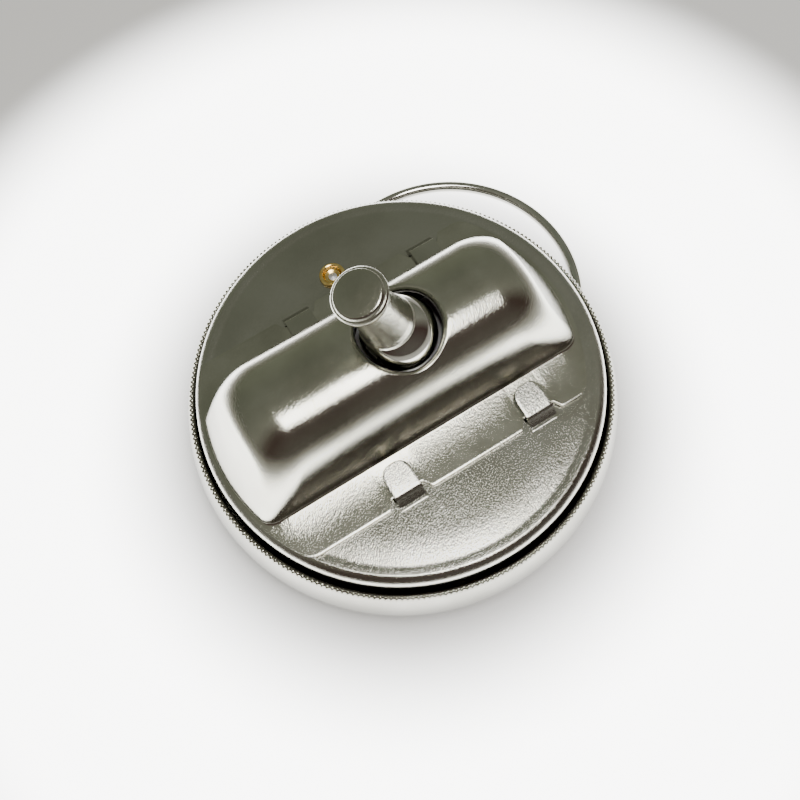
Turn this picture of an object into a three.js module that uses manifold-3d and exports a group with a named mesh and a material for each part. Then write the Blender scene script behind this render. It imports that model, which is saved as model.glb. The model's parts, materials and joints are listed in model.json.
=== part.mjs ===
// Hand-worked demagnetizer: pressed round housing, thumb lever, rack, gear train and spinning magnet.
// Millimetres, +Z up. The origin is on the table under the axis of the housing.
// +X runs along the long cover, and the thumb lever leans towards -X at rest.
import * as THREE from "three";
import { mergeVertices } from "three/addons/utils/BufferGeometryUtils.js";
import Module from "manifold-3d";

// ---------------------------------------------------------------- driving dimensions
const SHEET = 0.6; // wall of every pressed shell
const GAP = 0.05; // air left where two faces touch
const SHELL = 40; // facets round the housing's shells
const ROUND = 20; // facets round a large turned piece
const FINE = 12; // facets round a small turned piece

const PAN = { floor: 2.5, flatR: 23.0, wideR: 27.5, wideZ: 6.9, rimR: 26.5, rimZ: 12.0 };
const LID = { r: 25.0, top: 14.6, shoulder: 1.4, skirtZ: 11.2, holeR: 2.5 };
const FEET = { ringR: 17.0, topR: 3.0, baseR: 2.2 };

const COVER = {
  foot: 14.65, // underside of the flange
  ridge: 28.5,
  halfWidth: 8.1,
  leftR: 24.0, // plan radii of the two ends, about the housing's axis
  rightR: 21.9,
  ridgeLeft: 15.2,
  ridgeRight: 12.4,
  holeX: 0.65,
  holeR: 4.75,
};
const FLANGE = { halfWidth: 13.8, leftR: 24.15, rightR: 22.3, corner: 2.2, notch: 1.15 };
const TAB = { xs: [-6.6, 11.4], width: 3.5, outer: 13.75, inner: 9.2, notchHalf: 2.8 };

const LEVER = { x: COVER.holeX, pivotZ: 26.2, tilt: 15.5, ballR: 4.3, reach: 8.0 };
const RING = { heading: 38.0, wireR: 0.75, meanR: 18.15, wireZ: 1.55, barX: 0.45 };

const TOOTH = { module: 0.5, pressure: 20, addendum: 0.45, dedendum: 0.58, backlash: 0.14 };
const TEETH = { drive: 14, first: 50, pinion: 14, wheel: 37, rotor: 27 };
const pitchR = (teeth) => (teeth * TOOTH.module) / 2;
const ARBOR_Y = pitchR(TEETH.first) + pitchR(TEETH.pinion);

const POST_R = 1.2;
const BORE_R = POST_R + 0.1;
const SLEEVE_R = 2.2; // the drive pinion's sleeve
const LEVELS = {
  rack: [15.2, 16.4],
  first: [12.4, 13.6],
  wheel: [9.6, 10.8],
  bridge: [8.4, 9.2],
  magnet: [5.1, 7.6],
};
const PILLARS = { r: 20.6, angles: [18, 138, 258], outer: 1.6, spacerOuter: 1.7, holeR: 1.1, boreTop: 12.6 };
const SCREW = { shankR: 0.95, headR: 1.7, head: 0.9, top: 12.2, slot: 0.44, slotDeep: 0.4 };
const POST = { top: 16.95, collarR: 3.0, collar: 0.55 };
const MAGNET = { halfLength: 17.5, halfWidth: 4.5 };
const CARRIER = {
  halfLength: 16.5,
  halfWidth: 5.1,
  sheet: 0.5,
  earX: 12.5,
  earHalf: 1.6,
  earIn: 3.0, // half the gap between two facing ears
  leaf: 0.4,
};
const HUB = { foot: 4.0, flangeR: 4.0, flangeTop: 4.5, bodyR: 2.6, seatR: 2.0 };
const ARBOR = { bottom: 8.0, pivotR: 0.55, bodyR: 0.9, bodyTop: 13.75 };
const BUSH = { boreR: 0.65, shankR: 1.15, flangeR: 1.65 };

const CLUTCH = {
  perTurn: 14, // points of the curve in one turn
  turns: 1.5,
  pitch: 0.4,
  coilR: SLEEVE_R + 0.33,
  bottom: 11.29,
  wireR: 0.17,
  steps: 50,
  tail: [
    [1.5, -2.7, 11.85],
    [3.2, -2.1, 11.8],
    [4.2, -0.8, 11.9],
    [4.4, 0, 12.35],
    [4.4, 0, 12.9],
    [4.4, 0, 13.3],
  ],
};
const RACK = { back: -6.7, tailTop: -4.9, left: -13.3, right: 14.5, firstTooth: -3, lastTooth: 5 };
const EAR = { z0: 17.7, z1: 18.7, holeR: 1.13, half: 2.2, wallY: [-5.3, -4.6] };
const GUIDE = { xs: [-10.25, 11.6], half: 0.7, side: 0.12, wall: 0.53, roof: 0.2 };
const SPRING_AT = { y: (RACK.back + RACK.tailTop) / 2, z: 16.2, meanR: 1.05, wireR: 0.2, turns: 6 };
const STOP = { x: -20.0, thick: 0.7, y: [-7.0, -4.2], top: 18.0, foot: 2.6, footY: -6.1, footThick: 0.2 };
const SPIGOT = { rackR: 0.6, rackLong: 2.2, stopR: 0.55, stopLong: 1.6 };
const BRACKET = {
  half: 8.2,
  y0: -1.5, // the legs' two edges
  y1: 4.2,
  webY: -4.2,
  webZ: 20.9,
  sheet: 0.8,
  rivetXs: [-9.9, 9.9],
  rivetY: 1.4,
};
const RIVET = { shankR: 0.6, headR: 1.25, headTopR: 0.9, head: 0.55 };
const SEAT = { outer: 5.0, top: 24.4, bottomR: 2.8, ballGap: 0.12, lowZ: 22.6 };
const BAIL = { rivetX: 5.9, halfLength: 8.2, half: 2.5, humpX: 2.4, sheet: 0.5, holeR: 0.85 };
const BAIL_RIVET = { shankR: 0.75, headR: 0.9, headTopR: 1.3, head: 0.55 };

const rad = THREE.MathUtils.degToRad;
const sweepOfTip = LEVER.reach * Math.sin(rad(LEVER.tilt)); // the rack's offset from mid travel at rest
const rackLeft = RACK.left + sweepOfTip;
const alongRing = (d) => [d * Math.cos(rad(RING.heading)), d * Math.sin(rad(RING.heading))];
const pillarAt = (angle) => [PILLARS.r * Math.cos(rad(angle)), PILLARS.r * Math.sin(rad(angle))];
const wasm = await Module();
wasm.setup();

// ---------------------------------------------------------------- finishes
const finish = (color, roughness, metalness = 1) =>
  new THREE.MeshStandardMaterial({ color, roughness, metalness });
const NICKEL = finish(0xb9b8b0, 0.18);
const SATIN = finish(0x8f9089, 0.38);
const BRASS = finish(0xc79a3c, 0.28);
const STEEL = finish(0x9a9b9c, 0.3);
const SPRING = finish(0x6f7478, 0.35);
const MAGNET_METAL = finish(0x4c4f52, 0.55);

// ---------------------------------------------------------------- solids
/** A closed three.js geometry as a solid that can be joined and cut. */
function solid(geometry) {
  const bare = new THREE.BufferGeometry();
  bare.setAttribute("position", geometry.getAttribute("position"));
  bare.setIndex(geometry.index);
  const merged = mergeVertices(bare, 1e-4);
  const vertProperties = merged.attributes.position.array;
  const triVerts = new Uint32Array(merged.index.array);
  return new wasm.Manifold(new wasm.Mesh({ numProp: 3, vertProperties, triVerts }));
}

/** A solid back as a geometry. */
function geometryOf(made) {
  const mesh = made.getMesh();
  const geometry = new THREE.BufferGeometry();
  geometry.setAttribute("position", new THREE.BufferAttribute(mesh.vertProperties, 3));
  geometry.setIndex(new THREE.BufferAttribute(mesh.triVerts, 1));
  const loose = geometry.toNonIndexed();
  loose.computeVertexNormals();
  return loose;
}

/** Upright cylinder, or cone if a top radius is given. */
function rod(radius, z0, z1, x = 0, y = 0, topRadius = radius, facets = FINE) {
  const geometry = new THREE.CylinderGeometry(topRadius, radius, z1 - z0, facets);
  geometry.rotateX(Math.PI / 2);
  return solid(geometry.translate(x, y, (z0 + z1) / 2));
}

/** Upright tube. */
function tube(outer, inner, z0, z1, x = 0, y = 0, facets = FINE) {
  const bore = rod(inner, z0 - 1, z1 + 1, x, y, inner, facets);
  return rod(outer, z0, z1, x, y, outer, facets).subtract(bore);
}

/** Box between two corners. */
function block(x0, x1, y0, y1, z0, z1) {
  const geometry = new THREE.BoxGeometry(x1 - x0, y1 - y0, z1 - z0);
  return solid(geometry.translate((x0 + x1) / 2, (y0 + y1) / 2, (z0 + z1) / 2));
}

/** Turned piece from a closed outline of [radius, height] points, listed anticlockwise. */
function turned(outline, facets = FINE) {
  const points = outline.map(([r, z]) => new THREE.Vector2(r, z));
  const geometry = new THREE.LatheGeometry(points, facets);
  return solid(geometry.rotateX(Math.PI / 2));
}

/** Prism of a flat outline between two heights. */
function prism(shape, z0, z1, curveSegments = 8) {
  const geometry = new THREE.ExtrudeGeometry(shape, { depth: z1 - z0, bevelEnabled: false, curveSegments });
  return solid(geometry.translate(0, 0, z0));
}

/** Round wire along a curve. */
function wire(curve, radius, steps, sides = 8) {
  const section = new THREE.Shape();
  for (let i = 0; i < sides; i++) {
    const a = (i / sides) * 2 * Math.PI;
    const p = [radius * Math.cos(a), radius * Math.sin(a)];
    if (i) section.lineTo(...p);
    else section.moveTo(...p);
  }
  section.closePath();
  return solid(new THREE.ExtrudeGeometry(section, { steps, extrudePath: curve, bevelEnabled: false }));
}

/** Points of an arc, both ends included, angles in radians. */
function arc(cx, cy, r, from, to, steps) {
  const points = [];
  for (let i = 0; i <= steps; i++) {
    const a = from + ((to - from) * i) / steps;
    points.push([cx + r * Math.cos(a), cy + r * Math.sin(a)]);
  }
  return points;
}

/** Closed skin through stacked rings of equal point counts, each ring [x, y, z] anticlockwise. */
function loft(rings) {
  const count = rings[0].length;
  const positions = rings.flat(2);
  const index = [];
  for (let k = 0; k + 1 < rings.length; k++)
    for (let i = 0; i < count; i++) {
      const a = k * count + i;
      const b = k * count + ((i + 1) % count);
      index.push(a, b, b + count, a, b + count, a + count);
    }
  const last = (rings.length - 1) * count;
  for (let i = 1; i + 1 < count; i++) {
    index.push(0, i + 1, i);
    index.push(last, last + i, last + i + 1);
  }
  const geometry = new THREE.BufferGeometry();
  geometry.setAttribute("position", new THREE.Float32BufferAttribute(positions, 3));
  geometry.setIndex(index);
  return solid(geometry);
}

const polygon = (points) => new THREE.Shape(points.map(([x, y]) => new THREE.Vector2(x, y)));

// ---------------------------------------------------------------- gear teeth
const involute = (a) => Math.tan(a) - a;

/** Outline of an involute gear with one tooth centred on the given angle. */
function gearOutline(teeth, toothAngle) {
  const pitch = pitchR(teeth);
  const base = pitch * Math.cos(rad(TOOTH.pressure));
  const tip = pitch + TOOTH.addendum;
  const root = pitch - TOOTH.dedendum;
  const halfAtPitch = Math.PI / (2 * teeth) - TOOTH.backlash / (2 * pitch);
  const halfAt = (r) =>
    halfAtPitch + involute(rad(TOOTH.pressure)) - involute(Math.acos(Math.min(1, base / r)));
  const undercut = base - root > 0.05;
  const radii = undercut ? [root, base, tip] : [Math.max(base, root), tip];
  const points = [];
  for (let k = 0; k < teeth; k++) {
    const middle = rad(toothAngle) + (k * 2 * Math.PI) / teeth;
    const half = (r) => (r < base ? halfAt(base) : halfAt(r));
    for (const r of radii) points.push([r * Math.cos(middle - half(r)), r * Math.sin(middle - half(r))]);
    for (const r of [...radii].reverse())
      points.push([r * Math.cos(middle + half(r)), r * Math.sin(middle + half(r))]);
  }
  return points;
}

/** Gear between two heights, bored, with its centre at x = 0. */
function gear(teeth, [z0, z1], toothAngle, boreR, y = 0) {
  const wheel = prism(polygon(gearOutline(teeth, toothAngle)), z0, z1);
  return wheel.subtract(rod(boreR, z0 - 1, z1 + 1)).translate([0, y, 0]);
}

// ---------------------------------------------------------------- housing
/** Drawn pan: flat floor, wall bulging to its widest place, then leaning in to the rim. */
function basePan() {
  const profile = (inset) => [
    ...arc(PAN.flatR, PAN.wideZ, PAN.wideR - PAN.flatR - inset, -Math.PI / 2, 0, 4).map(([r, z]) => [
      r,
      PAN.wideZ + ((z - PAN.wideZ) * (PAN.wideZ - PAN.floor - inset)) / (PAN.wideR - PAN.flatR - inset),
    ]),
    [PAN.wideR - inset - 0.25, PAN.wideZ + 2.2],
    [PAN.rimR - inset, PAN.rimZ],
  ];
  const outline = [[0, PAN.floor], ...profile(0), ...profile(SHEET).reverse(), [0, PAN.floor + SHEET]];
  let pan = turned(outline, SHELL);
  for (let i = 0; i < 4; i++) {
    const a = rad(RING.heading + 90 * i);
    const at = [FEET.ringR * Math.cos(a), FEET.ringR * Math.sin(a)];
    pan = pan.add(rod(FEET.baseR, 0, PAN.floor + 0.1, ...at, FEET.topR));
    pan = pan.subtract(rod(FEET.baseR - SHEET, SHEET, PAN.floor + SHEET + 0.1, ...at, FEET.topR - SHEET));
  }
  pan = pan.subtract(rod(BORE_R, 0, 5));
  for (const a of PILLARS.angles) pan = pan.subtract(rod(PILLARS.holeR, 0, 5, ...pillarAt(a)));
  for (const side of [-1, 1]) pan = pan.subtract(rod(BAIL.holeR, 0, 5, ...alongRing(side * BAIL.rivetX)));
  return pan;
}

/** Lid with a rounded shoulder and a short skirt, and the four lanced tabs folded over the flange. */
function topPlate() {
  const edge = (r, top, inset) =>
    arc(r - LID.shoulder, top - LID.shoulder, LID.shoulder - inset, Math.PI / 2, 0, 3).reverse();
  const outline = [
    [0, LID.top - SHEET],
    ...edge(LID.r, LID.top, SHEET).reverse(),
    [LID.r - SHEET, LID.skirtZ],
    [LID.r, LID.skirtZ],
    ...edge(LID.r, LID.top, 0),
    [0, LID.top],
  ];
  let lid = turned(outline, SHELL);
  lid = lid.subtract(rod(LID.holeR, 10, 16));
  lid = lid.subtract(rod(BUSH.shankR + 0.1, 10, 16, 0, ARBOR_Y));
  for (const x of BRACKET.rivetXs) lid = lid.subtract(rod(RIVET.shankR + 0.1, 10, 16, x, BRACKET.rivetY));
  for (const x of TAB.xs)
    for (const side of [-1, 1]) {
      lid = lid.subtract(tabCut(x, side));
      lid = lid.add(tab(x, side));
    }
  return lid;
}

const mirrored = (made, side) => (side < 0 ? made.mirror([0, 1, 0]) : made);

/** Hole that a tab leaves in the lid. */
function tabCut(x, side) {
  const half = TAB.width / 2 + 0.15;
  return mirrored(block(x - half, x + half, TAB.inner, TAB.outer - SHEET, 13, 16), side);
}

/** Tab: a short wall at its outer edge and a leaf with a round end folded inwards. */
function tab(x, side) {
  const half = TAB.width / 2;
  const leafZ = COVER.foot + SHEET + GAP;
  const wall = block(x - half, x + half, TAB.outer - SHEET, TAB.outer, LID.top - SHEET, leafZ + SHEET);
  const roundAt = TAB.inner + half * 0.8;
  const end = arc(x, roundAt, half, Math.PI, 2 * Math.PI, 8).map(([px, py]) => [
    px,
    roundAt + (py - roundAt) * 0.8,
  ]);
  const leaf = prism(polygon([[x + half, TAB.outer], [x - half, TAB.outer], ...end]), leafZ, leafZ + SHEET);
  return mirrored(wall.add(leaf), side);
}

/** Plan outline of the cover at one level: two straight sides and two ends that follow the lid. */
function coverRing(halfWidth, leftR, rightR, corner, z) {
  const c = Math.min(corner, halfWidth * 0.8);
  const end = (r) => {
    const cx = Math.sqrt((r - c) ** 2 - (halfWidth - c) ** 2);
    const a = Math.atan2(halfWidth - c, cx);
    return [...arc(0, 0, r, 0, a, 4), ...arc(cx, halfWidth - c, c, a, Math.PI / 2, 4).slice(1)];
  };
  const right = end(rightR);
  const left = end(leftR).map(([x, y]) => [-x, y]);
  const top = [...right, ...left.slice().reverse()];
  const bottom = [...left.slice(1), ...right.slice(1).reverse()].map(([x, y]) => [x, -y]);
  return [...top, ...bottom].map(([x, y]) => [x, y, z]);
}

/** Pillow-shaped body of the cover, shrunk by inset on every side. */
function coverBody(inset) {
  const height = COVER.ridge - COVER.foot - inset;
  const rings = [];
  const levels = 9;
  for (let k = 0; k <= levels; k++) {
    const turn = (k / levels) * rad(87);
    const h = Math.sin(turn) ** (2 / 2.8);
    const width = (COVER.halfWidth - inset) * Math.cos(turn) ** (2 / 2.8);
    const lean = Math.sqrt(1 - h ** 1.3);
    const leftR = COVER.ridgeLeft + (COVER.leftR - COVER.ridgeLeft) * lean - inset;
    const rightR = COVER.ridgeRight + (COVER.rightR - COVER.ridgeRight) * lean - inset;
    rings.push(coverRing(width, leftR, rightR, 1.2 + 1.8 * h, COVER.foot + height * h));
  }
  return loft(rings);
}

/** Drawn cover with its flange, the flange's four notches and the lever's hole. */
function barCover() {
  const ringAt = (z) => coverRing(FLANGE.halfWidth, FLANGE.leftR, FLANGE.rightR, FLANGE.corner, z);
  let flange = loft([ringAt(COVER.foot), ringAt(COVER.foot + SHEET)]);
  const deep = FLANGE.halfWidth - FLANGE.notch;
  for (const x of TAB.xs)
    for (const side of [-1, 1]) {
      const n = TAB.notchHalf;
      const notch = polygon([
        [x - n + 0.7, deep],
        [x + n - 0.7, deep],
        [x + n, FLANGE.halfWidth + 1],
        [x - n, FLANGE.halfWidth + 1],
      ]);
      flange = flange.subtract(mirrored(prism(notch, 10, 20), side));
    }
  const inside = coverBody(SHEET).translate([0, 0, -0.5 * SHEET]);
  const hollow = inside.add(inside.translate([0, 0, -SHEET]));
  const hole = rod(COVER.holeR, 20, 40, COVER.holeX, 0, COVER.holeR, ROUND);
  return flange.add(coverBody(0)).subtract(hollow).subtract(hole);
}

/** Flanged bush with an oil sink at the end that shows. */
function upperBush() {
  const z = LID.top;
  const { boreR, shankR, flangeR } = BUSH;
  return turned([
    [boreR, z - 0.7],
    [shankR, z - 0.7],
    [shankR, z + GAP],
    [flangeR, z + GAP],
    [flangeR, z + 0.25],
    [flangeR - 0.25, z + 0.45],
    [shankR - 0.1, z + 0.45],
    [boreR, z - 0.2],
    [boreR, z - 0.7],
  ]).translate([0, ARBOR_Y, 0]);
}

function lowerBush() {
  const [z0, z1] = LEVELS.bridge;
  const { boreR, shankR, flangeR } = BUSH;
  return turned([
    [boreR, z0 - 0.2],
    [shankR + 0.15, z0 - 0.2],
    [shankR + 0.15, z1 + GAP],
    [flangeR + 0.25, z1 + GAP],
    [flangeR + 0.25, z1 + 0.2],
    [boreR, z1 + 0.2],
    [boreR, z0 - 0.2],
  ]).translate([0, ARBOR_Y, 0]);
}

// ---------------------------------------------------------------- frame inside
function pillar(angle) {
  const at = pillarAt(angle);
  const z0 = LEVELS.bridge[1] + GAP;
  const bored = rod(PILLARS.holeR - GAP, z0 - 1, PILLARS.boreTop, ...at);
  return rod(PILLARS.outer, z0, LID.top - SHEET - GAP, ...at).subtract(bored);
}

function spacer(angle) {
  const [z0, z1] = [PAN.floor + SHEET + GAP, LEVELS.bridge[0] - GAP];
  return tube(PILLARS.spacerOuter, PILLARS.holeR, z0, z1, ...pillarAt(angle));
}

/** Cheese-head screw with a cross-cut slot, up through pan, spacer and bridge into its pillar. */
function baseScrew(angle) {
  const at = pillarAt(angle);
  const top = PAN.floor - GAP;
  const bottom = top - SCREW.head;
  const half = SCREW.slot / 2;
  const slot = block(at[0] - 2, at[0] + 2, at[1] - half, at[1] + half, 0, bottom + SCREW.slotDeep);
  const shank = rod(SCREW.shankR, top - 0.1, SCREW.top, ...at);
  return rod(SCREW.headR, bottom, top, ...at).add(shank).subtract(slot);
}

/** Bridge plate: a hub ring, three arms to the pillars and an ear for the lower bush. */
function trainBridge() {
  const [z0, z1] = LEVELS.bridge;
  let plate = rod(6.0, z0, z1, 0, 0, 6.0, ROUND).add(rod(3.6, z0, z1, 0, ARBOR_Y));
  plate = plate.add(block(-3.0, 3.0, 0, ARBOR_Y, z0, z1));
  for (const a of PILLARS.angles) {
    const arm = block(0, PILLARS.r, -2.2, 2.2, z0, z1).rotate([0, 0, a]);
    plate = plate.add(arm).add(rod(2.7, z0, z1, ...pillarAt(a)));
  }
  plate = plate.subtract(rod(3.0, z0 - 1, z1 + 1));
  plate = plate.subtract(rod(BUSH.shankR + 0.2, z0 - 1, z1 + 1, 0, ARBOR_Y));
  for (const a of PILLARS.angles) plate = plate.subtract(rod(PILLARS.holeR, z0 - 1, z1 + 1, ...pillarAt(a)));
  return plate;
}

/** Fixed post, riveted flush in the pan's floor. */
function centerPost() {
  const floor = PAN.floor + SHEET + GAP;
  return rod(POST_R, PAN.floor, POST.top).add(rod(POST.collarR, floor, floor + POST.collar));
}

const postWasher = () => tube(2.6, BORE_R, 3.75, 3.95);
const postClip = () => tube(2.3, POST_R + 0.02, 16.45, 16.8);
const pinionWasher = () => tube(3.6, 2.35, LID.top + GAP, LEVELS.rack[0] - 0.1);

// ---------------------------------------------------------------- magnet rotor
function rotorHub() {
  const top = LEVELS.wheel[1];
  return turned([
    [BORE_R, HUB.foot],
    [HUB.flangeR, HUB.foot],
    [HUB.flangeR, HUB.flangeTop],
    [HUB.bodyR, HUB.flangeTop],
    [HUB.bodyR, LEVELS.wheel[0] - GAP],
    [HUB.seatR, LEVELS.wheel[0] - GAP],
    [HUB.seatR, top],
    [BORE_R, top],
    [BORE_R, HUB.foot],
  ]);
}

/** Sheet carrier under the magnet, its four ears folded over the magnet's top. */
function magnetCarrier() {
  const [z0, z1] = LEVELS.magnet;
  const { halfLength, halfWidth, earX, earHalf, earIn } = CARRIER;
  const bottom = z0 - GAP - CARRIER.sheet;
  const top = z1 + GAP + CARRIER.leaf;
  let carrier = block(-halfLength, halfLength, -halfWidth, halfWidth, bottom, z0 - GAP);
  for (const x of [-earX, earX])
    for (const side of [-1, 1]) {
      const wall = block(x - earHalf, x + earHalf, MAGNET.halfWidth + 0.1, halfWidth, bottom, top);
      const leaf = block(x - earHalf, x + earHalf, earIn, halfWidth, z1 + GAP, top);
      carrier = carrier.add(mirrored(wall.add(leaf), side));
    }
  return carrier.subtract(rod(HUB.bodyR + 0.1, 3, 6));
}

function barMagnet() {
  const [z0, z1] = LEVELS.magnet;
  const bar = block(-MAGNET.halfLength, MAGNET.halfLength, -MAGNET.halfWidth, MAGNET.halfWidth, z0, z1);
  return bar.subtract(rod(HUB.bodyR + 0.1, z0 - 1, z1 + 1));
}

// ---------------------------------------------------------------- gear train
function intermediateArbor() {
  return turned([
    [0, ARBOR.bottom],
    [ARBOR.pivotR, ARBOR.bottom],
    [ARBOR.pivotR, LEVELS.wheel[0] - 0.15],
    [ARBOR.bodyR, LEVELS.wheel[0] - 0.15],
    [ARBOR.bodyR, ARBOR.bodyTop],
    [ARBOR.pivotR, ARBOR.bodyTop],
    [ARBOR.pivotR, LID.top - 0.1],
    [0, LID.top],
  ]).translate([0, ARBOR_Y, 0]);
}

/** First wheel: crossed out with five round holes, and a small hole for the clutch spring's tail. */
function firstWheel() {
  let wheel = gear(TEETH.first, LEVELS.first, 90, SLEEVE_R + 0.1);
  for (let i = 0; i < 5; i++) {
    const a = rad(72 * i + 36);
    wheel = wheel.subtract(rod(2.6, 10, 15, 7.9 * Math.cos(a), 7.9 * Math.sin(a)));
  }
  const [tailX, tailY] = CLUTCH.tail.at(-1);
  return wheel.subtract(rod(0.5, 10, 15, tailX, tailY));
}

/** Coil of wire round the pinion's sleeve, then a tail that turns up into the first wheel. */
function clutchSpring() {
  const { perTurn, turns, pitch, coilR, bottom, wireR, tail, steps } = CLUTCH;
  const points = [];
  for (let i = 0; i <= perTurn * turns; i++) {
    const a = (i / perTurn) * 2 * Math.PI + Math.PI / 2;
    const z = bottom + (pitch * i) / perTurn;
    points.push(new THREE.Vector3(coilR * Math.cos(a), coilR * Math.sin(a), z));
  }
  for (const at of tail) points.push(new THREE.Vector3(...at));
  return wire(new THREE.CatmullRomCurve3(points), wireR, steps, 5);
}

/** Drive pinion: toothed head above the lid, sleeve down through it. */
function drivePinion() {
  const head = prism(polygon(gearOutline(TEETH.drive, -90)), ...LEVELS.rack);
  return head.add(rod(SLEEVE_R, 11.1, LEVELS.rack[0] + 0.1)).subtract(rod(BORE_R, 10, 18));
}

const wheelCollar = () => tube(3.0, SLEEVE_R + 0.04, 12.14, 12.34);

// ---------------------------------------------------------------- rack and lever
/** Short pin along X that centres one end of the return spring. */
function springSpigot(radius, length, x) {
  const pin = new THREE.CylinderGeometry(radius, radius, length, FINE).rotateZ(Math.PI / 2);
  return solid(pin.translate(x, SPRING_AT.y, SPRING_AT.z));
}

/** Toothed slide with a raised ear, drilled for the tip of the lever's arm. */
function rackSlide() {
  const [z0, z1] = LEVELS.rack;
  const pitch = Math.PI * TOOTH.module;
  const line = -pitchR(TEETH.drive);
  const slant = Math.tan(rad(TOOTH.pressure));
  const half = pitch / 4 - TOOTH.backlash / 2;
  const root = line - TOOTH.dedendum;
  const tip = line + TOOTH.addendum;
  const { firstTooth, lastTooth } = RACK;
  const points = [[(firstTooth - 0.2) * pitch, root]];
  for (let k = firstTooth; k <= lastTooth; k++) {
    const x = (k + 0.5) * pitch;
    points.push([x - half - TOOTH.dedendum * slant, root]);
    points.push([x - half + TOOTH.addendum * slant, tip]);
    points.push([x + half - TOOTH.addendum * slant, tip]);
    points.push([x + half + TOOTH.dedendum * slant, root]);
  }
  points.push([(lastTooth + 1.2) * pitch, root]);
  points.push([(lastTooth + 1.2) * pitch, RACK.back]);
  points.push([(firstTooth - 0.2) * pitch, RACK.back]);
  const toothed = prism(polygon(points.reverse()), z0, z1);
  const tail = block(rackLeft, RACK.right + sweepOfTip, RACK.back, RACK.tailTop, z0, z1);
  const spigot = springSpigot(SPIGOT.rackR, SPIGOT.rackLong, rackLeft + 0.1 - SPIGOT.rackLong / 2);
  const earX = LEVER.x + sweepOfTip;
  const [x0, x1] = [earX - EAR.half, earX + EAR.half];
  const wall = block(x0, x1, ...EAR.wallY, z0, EAR.z1);
  const leaf = block(x0, x1, EAR.wallY[0], 0, EAR.z0, EAR.z1);
  const ear = leaf.add(rod(EAR.half, EAR.z0, EAR.z1, earX, 0));
  const hole = rod(EAR.holeR, 17, 20, earX, 0);
  return toothed.add(tail).add(spigot).add(wall).add(ear.subtract(hole));
}

/** Staple over one tail of the rack, standing on the lid. */
function rackGuide(x) {
  const roof = LEVELS.rack[1] + GUIDE.roof;
  const [y0, y1] = [RACK.back - GUIDE.side, RACK.tailTop + GUIDE.side];
  const { half, wall } = GUIDE;
  const outer = block(x - half, x + half, y0 - wall, y1 + wall, LID.top + GAP, roof + wall);
  return outer.subtract(block(x - 2, x + 2, y0, y1, 14, roof));
}

/** Coil spring between the stop and the rack, lying along X. */
function returnSpring() {
  const { y, z, meanR, wireR, turns } = SPRING_AT;
  const from = STOP.x + STOP.thick + GAP + wireR + 0.1;
  const to = rackLeft - GAP - wireR - 0.1;
  const steps = turns * 10;
  const points = [];
  for (let i = 0; i <= steps; i++) {
    const a = (i / 10) * 2 * Math.PI;
    const x = from + ((to - from) * i) / steps;
    points.push(new THREE.Vector3(x, y + meanR * Math.cos(a), z + meanR * Math.sin(a)));
  }
  return wire(new THREE.CatmullRomCurve3(points), wireR, steps, 5);
}

/** Upright abutment of the spring, with a spigot. */
function springStop() {
  const z0 = LID.top + GAP;
  const { x, y, thick } = STOP;
  const plate = block(x, x + thick, ...y, z0, STOP.top);
  const foot = block(x, x + STOP.foot, y[0], STOP.footY, z0, z0 + STOP.footThick);
  const spigot = springSpigot(SPIGOT.stopR, SPIGOT.stopLong, x + thick - 0.2 + SPIGOT.stopLong / 2);
  return plate.add(foot).add(spigot);
}

/** Bridge over the pinion: web with the arm's slot, two legs and two feet on the lid. */
function leverBracket() {
  const { half, y0, y1, webZ, sheet, rivetXs, rivetY } = BRACKET;
  const foot = LID.top + GAP;
  let made = block(-half, half, BRACKET.webY, y1, webZ, webZ + sheet);
  for (const side of [-1, 1]) {
    const leg = block(half - sheet, half, y0, y1, foot, webZ + sheet);
    const pad = block(half - sheet, half + 3.2, y0, y1, foot, foot + sheet);
    made = made.add(side < 0 ? leg.add(pad).mirror([1, 0, 0]) : leg.add(pad));
  }
  for (const x of rivetXs) made = made.subtract(rod(RIVET.shankR + 0.1, 14, 17, x, rivetY));
  return made.subtract(block(LEVER.x - 3.1, LEVER.x + 3.1, -1.4, 1.4, webZ - 1, webZ + 2));
}

/** Rivet through a bracket foot and the lid. */
function bracketRivet(x) {
  const head = LID.top + GAP + BRACKET.sheet + GAP;
  const at = [x, BRACKET.rivetY];
  const shank = rod(RIVET.shankR, LID.top - SHEET, head + 0.1, ...at);
  return shank.add(rod(RIVET.headR, head, head + RIVET.head, ...at, RIVET.headTopR));
}

/** Ring that carries the ball from below. */
function ballSeat() {
  const z0 = BRACKET.webZ + BRACKET.sheet + GAP;
  const { outer, top, bottomR, lowZ } = SEAT;
  const inner = LEVER.ballR + SEAT.ballGap;
  const low = Math.asin((lowZ - LEVER.pivotZ) / inner);
  const high = Math.asin((top - LEVER.pivotZ) / inner);
  const seat = arc(0, LEVER.pivotZ, inner, high, low, 5);
  const outline = [[bottomR, z0], [outer, z0], [outer, top], ...seat, [bottomR, lowZ - 0.3], [bottomR, z0]];
  return turned(outline, ROUND).translate([LEVER.x, 0, 0]);
}

/** Cap, neck and flared skirt, with a shank down through the ball; heights count from the pivot. */
function thumbLever() {
  const crown = arc(0, 2.9, 11.4, Math.PI / 2 - 0.19, Math.PI / 2, 3);
  return turned(
    [
      [0, -4.2],
      [0.9, -4.2],
      [0.9, 4.9],
      [2.0, 4.7],
      [2.85, 4.4],
      [3.05, 4.5],
      [3.1, 4.7],
      [2.95, 5.0],
      [2.8, 5.7],
      [2.55, 7.6],
      [2.05, 12.3],
      [2.2, 12.7],
      [2.6, 12.85],
      [2.9, 13.1],
      [2.9, 13.7],
      [2.7, 14.0],
      ...crown,
    ],
    ROUND,
  );
}

/** Polished ball with an axial hole; heights count from the pivot. */
function leverBall() {
  const ball = new THREE.SphereGeometry(LEVER.ballR, ROUND, 10).rotateX(Math.PI / 2);
  return solid(ball).subtract(rod(0.98, -6, 6));
}

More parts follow.
